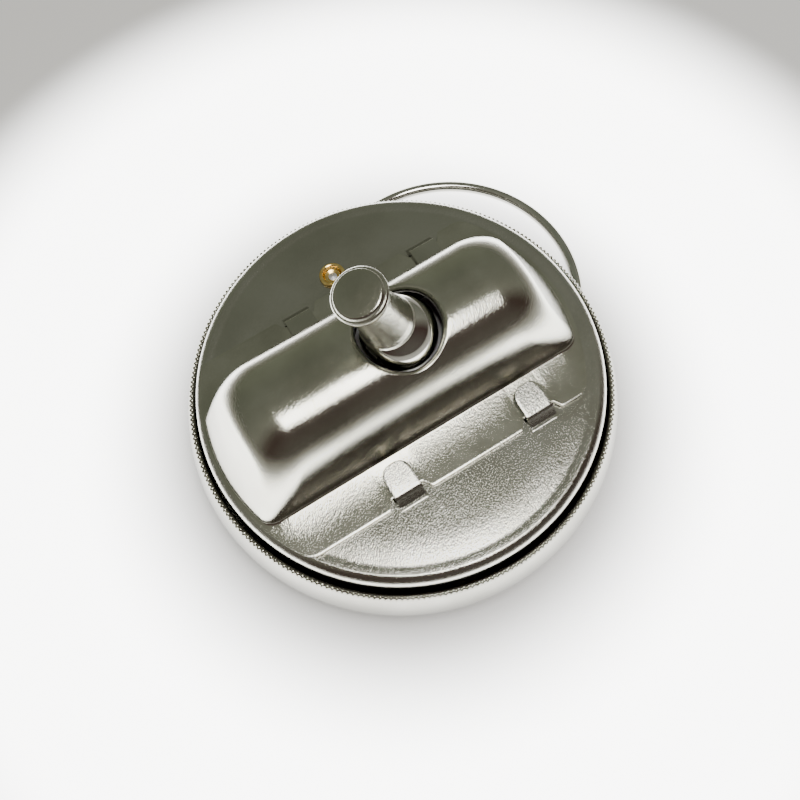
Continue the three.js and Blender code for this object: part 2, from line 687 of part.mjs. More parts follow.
/** Tail of the lever: collar, thin rod and round tip; heights count from the pivot. */
function leverArm() {
  const tip = arc(0, -LEVER.reach, 1.0, -Math.PI / 2, Math.PI / 2 - 0.72, 7);
  return turned([...tip, [0.66, -6.3], [1.2, -6.1], [1.2, -4.4], [0, -4.4]]);
}

// ---------------------------------------------------------------- finger ring
/** Strap under the pan, bowed down to let the ring's wire through. */
function ringBail() {
  const t = BAIL.sheet;
  const top = PAN.floor - GAP;
  const { humpX, halfLength } = BAIL;
  const under = [[humpX, 0], [humpX + 1.1, top - t], [halfLength, top - t]];
  const over = [[halfLength, top], [humpX + 0.75, top], [humpX - 0.3, t]];
  const right = [...under, ...over];
  const outline = [...right, ...right.map(([x, z]) => [-x, z]).reverse()];
  const side = new THREE.ExtrudeGeometry(polygon(outline), { depth: 2 * BAIL.half, bevelEnabled: false });
  let strap = solid(side.translate(0, 0, -BAIL.half).rotateX(Math.PI / 2));
  for (const x of [-BAIL.rivetX, BAIL.rivetX]) strap = strap.subtract(rod(BAIL.holeR, 0, 3, x, 0));
  return strap.rotate([0, 0, RING.heading]);
}

function bailRivet(side) {
  const at = alongRing(side * BAIL.rivetX);
  const head = PAN.floor - GAP - BAIL.sheet - GAP;
  const { shankR, headR, headTopR } = BAIL_RIVET;
  const shank = rod(shankR, head - 0.1, PAN.floor + SHEET, ...at);
  return shank.add(rod(headR, head - BAIL_RIVET.head, head, ...at, headTopR));
}

/** Closed hoop of wire; its centre line touches the strap's bar and its far side rests on the table. */
function fingerRing() {
  return new THREE.TorusGeometry(RING.meanR, RING.wireR, 8, SHELL);
}

// ---------------------------------------------------------------- assembly
const demagnetizer = new THREE.Group();

/** Names a piece, gives it its finish and adds it to a group. */
function add(name, piece, material, group = demagnetizer) {
  const mesh = new THREE.Mesh(piece.isBufferGeometry ? piece : geometryOf(piece), material);
  mesh.name = name;
  group.add(mesh);
}

add("base_pan", basePan(), NICKEL);
add("top_plate", topPlate(), SATIN);
add("bar_cover", barCover(), NICKEL);
add("upper_bush", upperBush(), BRASS);
add("lower_bush", lowerBush(), BRASS);
add("train_bridge", trainBridge(), BRASS);
add("center_post", centerPost(), STEEL);
add("post_washer", postWasher(), BRASS);
add("post_clip", postClip(), SPRING);
add("pinion_washer", pinionWasher(), BRASS);
PILLARS.angles.forEach((angle, i) => {
  add(`pillar_${i + 1}`, pillar(angle), BRASS);
  add(`spacer_${i + 1}`, spacer(angle), BRASS);
  add(`base_screw_${i + 1}`, baseScrew(angle), STEEL);
});

add("rotor_hub", rotorHub(), BRASS);
add("rotor_pinion", gear(TEETH.rotor, LEVELS.wheel, 90, HUB.seatR + GAP), BRASS);
add("magnet_carrier", magnetCarrier(), BRASS);
add("bar_magnet", barMagnet(), MAGNET_METAL);

add("intermediate_arbor", intermediateArbor(), STEEL);
const meshed = (teeth) => -90 + 180 / teeth; // a tooth gap turned towards the centre post
const onArbor = ARBOR.bodyR + GAP;
add("intermediate_pinion", gear(TEETH.pinion, LEVELS.first, meshed(TEETH.pinion), onArbor, ARBOR_Y), STEEL);
add("intermediate_wheel", gear(TEETH.wheel, LEVELS.wheel, meshed(TEETH.wheel), onArbor, ARBOR_Y), BRASS);
add("first_wheel", firstWheel(), BRASS);
add("clutch_spring", clutchSpring(), SPRING);
add("drive_pinion", drivePinion(), STEEL);
add("wheel_collar", wheelCollar(), STEEL);

add("rack_slide", rackSlide(), STEEL);
GUIDE.xs.forEach((x, i) => add(`rack_guide_${i + 1}`, rackGuide(x), STEEL));
add("return_spring", returnSpring(), SPRING);
add("spring_stop", springStop(), STEEL);
add("lever_bracket", leverBracket(), STEEL);
BRACKET.rivetXs.forEach((x, i) => add(`bracket_rivet_${i + 1}`, bracketRivet(x), BRASS));
add("ball_seat", ballSeat(), STEEL);

const lever = new THREE.Group();
lever.position.set(LEVER.x, 0, LEVER.pivotZ);
lever.rotation.y = rad(-LEVER.tilt);
demagnetizer.add(lever);
add("thumb_lever", thumbLever(), NICKEL, lever);
add("lever_ball", leverBall(), NICKEL, lever);
add("lever_arm", leverArm(), STEEL, lever);

add("ring_bail", ringBail(), NICKEL);
[-1, 1].forEach((side, i) => add(`bail_rivet_${i + 1}`, bailRivet(side), STEEL));

const ring = new THREE.Group();
ring.position.set(...alongRing(RING.barX), RING.wireZ);
ring.rotation.z = rad(RING.heading);
const droop = new THREE.Group();
droop.rotation.y = Math.asin((RING.wireZ - RING.wireR - 0.02) / (2 * RING.meanR));
const hoop = new THREE.Group();
hoop.position.x = RING.meanR;
ring.add(droop);
droop.add(hoop);
demagnetizer.add(ring);
add("finger_ring", fingerRing(), NICKEL, hoop);

export default demagnetizer;
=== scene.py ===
"""Looks of a hand-worked demagnetizer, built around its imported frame.

Sizes in the classes are millimetres. Every mesh is made in metres, in the part's own frame, with its
object at the origin.
"""

import json
import logging
import math
from dataclasses import dataclass
from enum import Enum
from typing import Callable, Sequence

import bpy
import numpy as np
from mathutils import Matrix, Vector


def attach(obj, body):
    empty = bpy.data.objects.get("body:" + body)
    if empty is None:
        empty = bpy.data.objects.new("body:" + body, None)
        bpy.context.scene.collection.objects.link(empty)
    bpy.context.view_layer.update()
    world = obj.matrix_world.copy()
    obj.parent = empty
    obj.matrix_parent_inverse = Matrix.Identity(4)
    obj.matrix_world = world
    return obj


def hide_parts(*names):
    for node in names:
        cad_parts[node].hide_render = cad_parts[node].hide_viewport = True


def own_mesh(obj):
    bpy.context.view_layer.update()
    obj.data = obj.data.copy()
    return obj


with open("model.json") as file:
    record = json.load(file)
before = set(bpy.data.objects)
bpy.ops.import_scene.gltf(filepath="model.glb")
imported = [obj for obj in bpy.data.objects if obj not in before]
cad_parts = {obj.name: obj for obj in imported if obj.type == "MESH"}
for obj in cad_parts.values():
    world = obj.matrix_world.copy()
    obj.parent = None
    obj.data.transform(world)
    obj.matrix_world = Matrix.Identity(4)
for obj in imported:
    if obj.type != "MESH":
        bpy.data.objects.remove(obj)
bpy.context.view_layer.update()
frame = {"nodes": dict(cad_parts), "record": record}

MM = 0.001
HOUSING_FACETS = 224  # round the pan and the lid
LOG = logging.getLogger("demagnetizer")
Point = tuple[float, float]
Triple = tuple[float, float, float]
Piece = bpy.types.Object
Tree = bpy.types.NodeTree
Socket = bpy.types.NodeSocket
Feeds = dict[str | int, object]


class Body(Enum):
    """Rigid bodies that the fine pieces ride on."""

    HOUSING = "housing"
    LEVER = "lever"
    RING = "ring"


class Slot(Enum):
    """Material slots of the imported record."""

    POLISHED = "polished_nickel"
    SATIN = "satin_nickel"
    BRASS = "brass"
    STEEL = "machined_steel"
    SPRING = "spring_steel"
    MAGNET = "magnet_alloy"


class Grain(Enum):
    """Heading of a finish's grain in degrees from X, and its scale along and across that heading."""

    EVEN = (0.0, 1.0, 1.0)
    DRAWN = (0.0, 0.12, 1.0)
    SWEPT = (66.0, 0.42, 1.0)


class Cut(Enum):
    """Ways to combine two closed meshes."""

    REMOVE = "DIFFERENCE"
    JOIN = "UNION"


# ------------------------------------------------------------------ node tools
def feed(tree: Tree, node: bpy.types.Node, feeds: Feeds) -> None:
    """Fills inputs of a node.

    Args:
        tree: the node's tree.
        node: the node.
        feeds: a socket to link from, or a value, for each input.
    """
    for label, value in feeds.items():
        if isinstance(value, Socket):
            tree.links.new(value, node.inputs[label])
        else:
            node.inputs[label].default_value = value


def add_node(tree: Tree, kind: str, feeds: Feeds | None = None, **settings: object) -> bpy.types.Node:
    """Adds a node to a tree.

    Args:
        tree: the tree.
        kind: the node's type.
        feeds: a socket to link from, or a value, for each input.
        settings: properties of the node.

    Returns:
        The node.
    """
    made = tree.nodes.new(kind)
    for label, value in settings.items():
        setattr(made, label, value)
    feed(tree, made, feeds or {})
    return made


# ------------------------------------------------------------------ finishes
@dataclass(frozen=True)
class MetalFinish:
    """A plated, turned or ground metal.

    Args:
        name: name of the material.
        slot: the record's slot it belongs to.
        light: colour of clean metal.
        dull: colour of stained or worn metal.
        rough: least and most roughness.
        grain_mm: width of the fine grain.
        depth_mm: depth of the fine grain.
        cloud_mm: width of the slow change in tone.
        grain: how the grain is stretched.
        fleck: share of the depth given to a second, coarser fleck.
        fleck_size: width of that fleck, in widths of the fine grain.
        clouding: noise values at which the metal is clean and dull.
        graining: noise values at which it is least and most rough.
    """

    name: str
    slot: Slot
    light: Triple
    dull: Triple
    rough: Point
    grain_mm: float
    depth_mm: float
    cloud_mm: float
    grain: Grain = Grain.EVEN
    fleck: float = 0.35
    fleck_size: float = 2.7
    clouding: Point = (0.38, 0.66)
    graining: Point = (0.3, 0.7)

    def noise(self, tree: Tree, width_mm: float, detail: float, at: Socket) -> Socket:
        """Noise of one width.

        Args:
            tree: the material's tree.
            width_mm: width of one blotch.
            detail: number of finer layers.
            at: the coordinates to read.

        Returns:
            Its grey value.
        """
        feeds = {"Scale": 1.0 / (width_mm * MM), "Detail": detail, "Vector": at}
        return add_node(tree, "ShaderNodeTexNoise", feeds).outputs["Fac"]

    def build(self) -> bpy.types.Material:
        """Makes the finish once.

        Returns:
            The node material.
        """
        found = bpy.data.materials.get(self.name)
        if found:
            return found
        made = bpy.data.materials.new(self.name)
        made.use_nodes = True
        tree = made.node_tree
        place = add_node(tree, "ShaderNodeTexCoord").outputs["Object"]
        heading, along, across = self.grain.value
        turn, scale = (0.0, 0.0, math.radians(heading)), (1.0 / along, 1.0 / across, 1.0)
        feeds = {"Vector": place, "Rotation": turn, "Scale": scale}
        stretched = add_node(tree, "ShaderNodeMapping", feeds, vector_type="TEXTURE").outputs["Vector"]
        fine = self.noise(tree, self.grain_mm, 2.0, stretched)
        coarse = self.noise(tree, self.grain_mm * self.fleck_size, 1.0, stretched)
        cloud = self.noise(tree, self.cloud_mm, 4.0, place)

        clean, dull = self.clouding
        tone = add_node(tree, "ShaderNodeMapRange", {"Value": cloud, "From Min": clean, "From Max": dull})
        feeds = {"Factor": tone.outputs["Result"], "A": (*self.light, 1.0), "B": (*self.dull, 1.0)}
        colour = add_node(tree, "ShaderNodeMix", feeds, data_type="RGBA")
        feeds = {"Factor": self.fleck, "A": fine, "B": coarse}
        grain = add_node(tree, "ShaderNodeMix", feeds).outputs["Result"]
        spread = zip(("From Min", "From Max", "To Min", "To Max"), (*self.graining, *self.rough))
        rough = add_node(tree, "ShaderNodeMapRange", {"Value": grain, **dict(spread)})
        feeds = {"Strength": 1.0, "Distance": self.depth_mm * MM, "Height": grain}
        bump = add_node(tree, "ShaderNodeBump", feeds)
        feeds = {
            "Metallic": 1.0,
            "Base Color": colour.outputs["Result"],
            "Roughness": rough.outputs["Result"],
            "Normal": bump.outputs["Normal"],
        }
        feed(tree, tree.nodes["Principled BSDF"], feeds)
        return made


POLISHED = MetalFinish(
    "polished_nickel_plate", Slot.POLISHED, (0.47, 0.465, 0.40), (0.37, 0.365, 0.305), (0.11, 0.20),
    grain_mm=0.11, depth_mm=0.028, cloud_mm=7.0, grain=Grain.SWEPT,
)
MIRROR = MetalFinish(
    "bright_nickel_plate", Slot.POLISHED, (0.55, 0.545, 0.50), (0.46, 0.455, 0.41), (0.05, 0.10),
    grain_mm=0.3, depth_mm=0.0008, cloud_mm=5.0,
)
SATIN = MetalFinish(
    "satin_nickel_plate", Slot.SATIN, (0.44, 0.435, 0.39), (0.37, 0.365, 0.315), (0.12, 0.20),
    grain_mm=0.10, depth_mm=0.040, cloud_mm=9.0, grain=Grain.SWEPT,
)
BRASS = MetalFinish(
    "stained_brass", Slot.BRASS, (0.42, 0.27, 0.10), (0.20, 0.12, 0.05), (0.24, 0.42),
    grain_mm=0.25, depth_mm=0.004, cloud_mm=1.4,
)
# Darker copy of the polished nickel plate, for the pan: the extra darkness is painted shade, standing for the
# shaded table beside the pan that its wall reflects.
SHADED_PAN_NICKEL = MetalFinish(
    "shaded_nickel_plate", Slot.POLISHED, (0.29, 0.285, 0.255), (0.24, 0.235, 0.205), (0.14, 0.24),
    grain_mm=0.08, depth_mm=0.006, cloud_mm=6.0,
)
BRIGHT_BRASS = MetalFinish(
    "bare_brass", Slot.BRASS, (0.86, 0.66, 0.26), (0.66, 0.42, 0.12), (0.10, 0.22),
    grain_mm=0.25, depth_mm=0.006, cloud_mm=0.9,
)
STEEL = MetalFinish(
    "machined_steel", Slot.STEEL, (0.56, 0.56, 0.57), (0.44, 0.44, 0.45), (0.22, 0.36),
    grain_mm=0.12, depth_mm=0.005, cloud_mm=3.0, grain=Grain.DRAWN,
)
SPRING_WIRE = MetalFinish(
    "spring_wire", Slot.SPRING, (0.34, 0.36, 0.38), (0.24, 0.24, 0.26), (0.26, 0.40),
    grain_mm=0.10, depth_mm=0.003, cloud_mm=1.5,
)
MAGNET = MetalFinish(
    "ground_magnet", Slot.MAGNET, (0.26, 0.27, 0.28), (0.18, 0.18, 0.19), (0.38, 0.60),
    grain_mm=0.20, depth_mm=0.010, cloud_mm=4.0, grain=Grain.DRAWN,
)
BY_SLOT = {f.slot.value: f for f in (POLISHED, SATIN, BRASS, STEEL, SPRING_WIRE, MAGNET)}


# ------------------------------------------------------------------ mesh tools
def add_object(name: str, vertices: Sequence, faces: Sequence[Sequence[int]]) -> Piece:
    """A mesh object from points in millimetres.

    Args:
        name: name of the piece.
        vertices: points, each x, y, z.
        faces: corner numbers of each face.

    Returns:
        The object, at the origin.
    """
    mesh = bpy.data.meshes.new(name)
    mesh.from_pydata((np.asarray(vertices, float) * MM).tolist(), [], [tuple(f) for f in faces])
    mesh.update()
    obj = bpy.data.objects.new(name, mesh)
    bpy.context.scene.collection.objects.link(obj)
    return obj


def volume_of(mesh: bpy.types.Mesh) -> float:
    """Signed volume of a closed mesh, times six.

    Args:
        mesh: a closed mesh.

    Returns:
        The volume; it is negative when the faces point inwards.
    """
    mesh.calc_loop_triangles()
    total = 0.0
    for tri in mesh.loop_triangles:
        a, b, c = (mesh.vertices[i].co for i in tri.vertices)
        total += a.dot(b.cross(c))
    return total


def facing_out(obj: Piece) -> Piece:
    """Turns every face of a closed mesh round if they point inwards.

    Args:
        obj: closed mesh.

    Returns:
        The same object.
    """
    if volume_of(obj.data) < 0:
        obj.data.flip_normals()
    return obj


def settle(obj: Piece) -> Piece:
    """Replaces the mesh by its evaluated result and clears the modifiers.

    Args:
        obj: object with live modifiers.

    Returns:
        The same object.
    """
    graph = bpy.context.evaluated_depsgraph_get()
    graph.update()
    made = bpy.data.meshes.new_from_object(obj.evaluated_get(graph), depsgraph=graph)
    obj.modifiers.clear()
    obj.data = made
    return obj


def combine(obj: Piece, tool: Piece, cut: Cut) -> Piece:
    """Joins or removes a closed tool mesh, which is then deleted.

    Args:
        obj: closed mesh.
        tool: the closed mesh to join or take away.
        cut: which of the two.

    Returns:
        The first object.
    """
    modifier = obj.modifiers.new("cut", "BOOLEAN")
    modifier.operation = cut.value
    modifier.solver = "EXACT"
    modifier.object = tool
    settle(obj)
    bpy.data.objects.remove(tool)
    return obj


def bevelled(obj: Piece, width: float, over: float) -> Piece:
    """Breaks every edge sharper than an angle, with two facets.

    Args:
        obj: closed mesh.
        width: width of the break in millimetres.
        over: angle in degrees.

    Returns:
        The same object.
    """
    modifier = obj.modifiers.new("break", "BEVEL")
    modifier.width = width * MM
    modifier.segments = 2
    modifier.limit_method = "ANGLE"
    modifier.angle_limit = math.radians(over)
    return settle(obj)


def grid_faces(rows: int, columns: int, close_columns: bool = True) -> list[tuple[int, ...]]:
    """Quads over a grid of points stored row by row.

    Args:
        rows: number of rows.
        columns: points in a row.
        close_columns: whether each row runs round to its start.

    Returns:
        Corner numbers of each quad.
    """
    faces = []
    for r in range(rows - 1):
        for c in range(columns if close_columns else columns - 1):
            d = (c + 1) % columns
            faces.append((r * columns + c, r * columns + d, (r + 1) * columns + d, (r + 1) * columns + c))
    return faces


def lathe(name: str, profile: Sequence[Point], segments: int, closed: bool = False) -> Piece:
    """Turned piece about Z.

    Args:
        name: name of the piece.
        profile: radius and height of each point.
        segments: facets round the axis.
        closed: whether the profile runs back to its first point; if not, both ends lie on the axis.

    Returns:
        The object, faces outwards.
    """
    turn = np.linspace(0, 2 * math.pi, segments, endpoint=False)
    vertices: list[tuple[float, float, float]] = []
    rings = []
    for radius, z in profile:
        start = len(vertices)
        if radius < 1e-6:
            vertices.append((0.0, 0.0, z))
            rings.append([start] * segments)
        else:
            vertices += [(radius * math.cos(a), radius * math.sin(a), z) for a in turn]
            rings.append(list(range(start, start + segments)))
    faces = []
    for low, high in zip(rings, rings[1:] + ([rings[0]] if closed else [])):
        for i in range(segments):
            j = (i + 1) % segments
            face = tuple(dict.fromkeys((low[i], low[j], high[j], high[i])))
            if len(face) > 2:
                faces.append(face)
    return facing_out(add_object(name, vertices, faces))


def arc(cx: float, cy: float, radius: float, start: float, end: float, steps: int) -> list[Point]:
    """Points of an arc.

    Args:
        cx: centre across.
        cy: centre up.
        radius: radius.
        start: first angle in degrees.
        end: last angle in degrees.
        steps: pieces of the arc.

    Returns:
        Its points, both ends included.
    """
    return [
        (cx + radius * math.cos(math.radians(a)), cy + radius * math.sin(math.radians(a)))
        for a in np.linspace(start, end, steps + 1)
    ]


def fillet(points: Sequence[Triple], steps: int = 6, support: float = 0.06) -> list[Point]:
    """Open line with its corners rounded.

    Args:
        points: x, y and rounding radius of each corner.
        steps: pieces to a rounding.
        support: length of the short straight piece left beside each rounding.

    Returns:
        The points of the rounded line.
    """
    made: list[Point] = [points[0][:2]]
    for before, at, after in zip(points, points[1:], points[2:]):
        p = np.array(at[:2])
        to_before, to_after = np.array(before[:2]) - p, np.array(after[:2]) - p
        len_before, len_after = np.linalg.norm(to_before), np.linalg.norm(to_after)
        to_before, to_after = to_before / len_before, to_after / len_after
        between = math.acos(float(np.clip(to_before @ to_after, -1, 1)))
        if at[2] <= 0 or between > math.radians(178):
            made.append(tuple(p))
            continue
        reach = min(at[2] / math.tan(between / 2), 0.47 * len_before, 0.47 * len_after)
        if reach + support < 0.5 * len_before:
            made.append(tuple(p + to_before * (reach + support)))
        a, b = p + to_before * reach, p + to_after * reach
        for t in np.linspace(0, 1, steps + 1):
            made.append(tuple((1 - t) ** 2 * a + 2 * t * (1 - t) * p + t * t * b))
        if reach + support < 0.5 * len_after:
            made.append(tuple(p + to_after * (reach + support)))
    made.append(points[-1][:2])
    return made


def spaced(line: Sequence[Point], most: float) -> list[Point]:
    """Splits the long pieces of a line.

    Args:
        line: points of the line.
        most: greatest distance between two points.

    Returns:
        The same line with more points.
    """
    made = [line[0]]
    for a, b in zip(line, line[1:]):
        count = max(1, math.ceil(math.dist(a, b) / most))
        for k in range(1, count + 1):
            made.append((a[0] + (b[0] - a[0]) * k / count, a[1] + (b[1] - a[1]) * k / count))
    return made


def box(name: str, low: Sequence[float], high: Sequence[float]) -> Piece:
    """Cutting block with its sides along the axes.

    Args:
        name: name of the block.
        low: its lowest corner.
        high: its highest corner.

    Returns:
        The object, faces outwards.
    """
    corners = [(x, y, z) for x in (low[0], high[0]) for y in (low[1], high[1]) for z in (low[2], high[2])]
    faces = [(0, 1, 3, 2), (4, 6, 7, 5), (0, 4, 5, 1), (2, 3, 7, 6), (0, 2, 6, 4), (1, 5, 7, 3)]
    return facing_out(add_object(name, corners, faces))


def joined(name: str, parts: Sequence[Piece]) -> Piece:
    """Several mesh objects as one; the parts are removed.

    Args:
        name: name of the new object.
        parts: the objects.

    Returns:
        The new object.
    """
    vertices: list[Vector] = []
    faces: list[tuple[int, ...]] = []
    for part in parts:
        base = len(vertices)
        vertices += [v.co / MM for v in part.data.vertices]
        faces += [tuple(base + i for i in p.vertices) for p in part.data.polygons]
        bpy.data.objects.remove(part)
    return add_object(name, vertices, faces)


def strip(
    name: str, line: Sequence[Point], half: Callable[[float], float], thick: float, across: int
) -> Piece:
    """Strip of sheet that follows a line in the Y, Z plane, centred on X = 0.

    Args:
        name: name of the piece.
        line: y and z along the middle of the sheet.
        half: half width of the strip at a share of its length.
        thick: thickness of the sheet.
        across: quads across the strip.

    Returns:
        A closed mesh.
    """
    steps = np.cumsum([0.0] + [math.dist(a, b) for a, b in zip(line, line[1:])])
    rows = [
        [(half(s / steps[-1]) * (2 * k / across - 1), y, z) for k in range(across + 1)]
        for s, (y, z) in zip(steps, line)
    ]
    obj = add_object(name, [p for row in rows for p in row], grid_faces(len(rows), across + 1, False))
    thicken(obj, thick, 0.0)
    return facing_out(obj)


def thicken(obj: Piece, thick: float, offset: float = -1.0) -> Piece:
    """Gives an open sheet its thickness.

    Args:
        obj: open mesh.
        thick: thickness in millimetres.
        offset: -1 puts it all behind the faces, 0 half on each side.

    Returns:
        The same object, closed.
    """
    modifier = obj.modifiers.new("thick", "SOLIDIFY")
    modifier.thickness = thick * MM
    modifier.offset = offset
    modifier.use_even_offset = True
    modifier.thickness_clamp = 0.0
    return settle(obj)


def place(obj: Piece, matrix: Matrix) -> Piece:
    """Moves the mesh itself, so that its object stays at the origin.

    Args:
        obj: the object.
        matrix: the move, in metres.

    Returns:
        The same object.
    """
    obj.data.transform(matrix)
    obj.data.update()
    return obj


def hand_over(
    obj: Piece, finish: MetalFinish, body: Body, nodes: Sequence[str], sharp: float = 38.0
) -> Piece:
    """Dresses a finished piece and ties it to the frame.

    Args:
        obj: finished mesh, its object at the origin.
        finish: its metal.
        body: the body it rides on.
        nodes: the CAD nodes it stands for.
        sharp: angle in degrees past which an edge stays crisp.

    Returns:
        The same object.
    """
    mesh = obj.data
    mesh.polygons.foreach_set("use_smooth", [True] * len(mesh.polygons))
    mesh.set_sharp_from_angle(angle=math.radians(sharp))
    mesh.materials.clear()
    mesh.materials.append(finish.build())
    mesh.update()
    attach(obj, body.value)
    if nodes:
        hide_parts(*nodes)
    LOG.info("%s: %d faces on %s", obj.name, len(mesh.polygons), body.value)
    return obj


# ------------------------------------------------------------------ geometry trees
class GeometryTree:
    """Geometry node tree under construction, with named number inputs."""

    def __init__(self, name: str, sizes: dict[str, float | int]) -> None:
        """Starts a tree.

        Args:
            name: name of the tree.
            sizes: name and value of each input; whole numbers become integer inputs.
        """
        self.sizes = sizes
        self.tree = bpy.data.node_groups.new(name, "GeometryNodeTree")
        self.tree.interface.new_socket("Geometry", in_out="OUTPUT", socket_type="NodeSocketGeometry")
        for label, value in sizes.items():
            kind = "NodeSocketInt" if isinstance(value, int) else "NodeSocketFloat"
            self.tree.interface.new_socket(label, in_out="INPUT", socket_type=kind)
        self.inputs = self.tree.nodes.new("NodeGroupInput").outputs
        self.end = self.tree.nodes.new("NodeGroupOutput")

    def node(self, kind: str, feeds: Feeds | None = None, **settings: object) -> bpy.types.Node:
        """Adds a node, as add_node does."""
        return add_node(self.tree, kind, feeds, **settings)

    def grow(self, name: str, last: Socket, finish: MetalFinish) -> Piece:
        """Ends the tree, runs it and keeps the plain mesh.

        Args:
            name: name of the piece.
            last: the geometry to keep.
            finish: its metal.

        Returns:
            A mesh object without modifiers.
        """
        real = self.node("GeometryNodeRealizeInstances", {"Geometry": last})
        feeds = {"Geometry": real.outputs[0], "Material": finish.build()}
        dressed = self.node("GeometryNodeSetMaterial", feeds)
        self.tree.links.new(dressed.outputs[0], self.end.inputs[0])
        obj = add_object(name, [], [])
        modifier = obj.modifiers.new("growth", "NODES")
        modifier.node_group = self.tree
        for item in self.tree.interface.items_tree:
            if item.in_out == "INPUT":
                modifier[item.identifier] = self.sizes[item.name]
        return settle(obj)


def copies_on_circle(
    name: str, unit: Piece, finish: MetalFinish, count: int, radius: float, phase: float
) -> Piece:
    """Copies of a unit mesh at equal steps of a circle, not turned with it; the unit is removed.

    Args:
        name: name of the piece.
        unit: mesh modelled at the origin.
        finish: metal of the result.
        count: how many copies.
        radius: radius of the circle in millimetres.
        phase: heading of the first copy in degrees.

    Returns:
        One mesh object.
    """
    tree = GeometryTree(name + "_tree", {"Count": count, "Radius": radius * MM, "Phase": math.radians(phase)})
    feeds = {"Vertices": tree.inputs["Count"], "Radius": tree.inputs["Radius"]}
    circle = tree.node("GeometryNodeMeshCircle", feeds)
    heading = tree.node("ShaderNodeCombineXYZ", {"Z": tree.inputs["Phase"]})
    feeds = {"Geometry": circle.outputs[0], "Rotation": heading.outputs[0]}
    turned = tree.node("GeometryNodeTransform", feeds)
    model = tree.node("GeometryNodeObjectInfo", {"Object": unit})
    feeds = {"Points": turned.outputs[0], "Instance": model.outputs["Geometry"]}
    spread = tree.node("GeometryNodeInstanceOnPoints", feeds)
    made = tree.grow(name, spread.outputs[0], finish)
    bpy.data.objects.remove(unit)
    return made


def coil(
    name: str, finish: MetalFinish, turns: float, radius: float, length: float, wire: float
) -> Piece:
    """Round-wire helix that rises along Z from the origin.

    Args:
        name: name of the piece.
        finish: its metal.
        turns: number of turns.
        radius: mean radius of the coil.
        length: rise of the wire's centre.
        wire: radius of the wire.

    Returns:
        One mesh object.
    """
    sizes = {"Turns": turns, "Radius": radius * MM, "Length": length * MM, "Wire": wire * MM}
    tree = GeometryTree(name + "_tree", sizes)
    feeds = {
        "Resolution": 40,
        "Rotations": tree.inputs["Turns"],
        "Start Radius": tree.inputs["Radius"],
        "End Radius": tree.inputs["Radius"],
        "Height": tree.inputs["Length"],
    }
    path = tree.node("GeometryNodeCurveSpiral", feeds)
    feeds = {"Resolution": 10, "Radius": tree.inputs["Wire"]}
    section = tree.node("GeometryNodeCurvePrimitiveCircle", feeds)
    feeds = {"Curve": path.outputs[0], "Profile Curve": section.outputs[0], "Fill Caps": True}
    swept = tree.node("GeometryNodeCurveToMesh", feeds)
    return tree.grow(name, swept.outputs[0], finish)


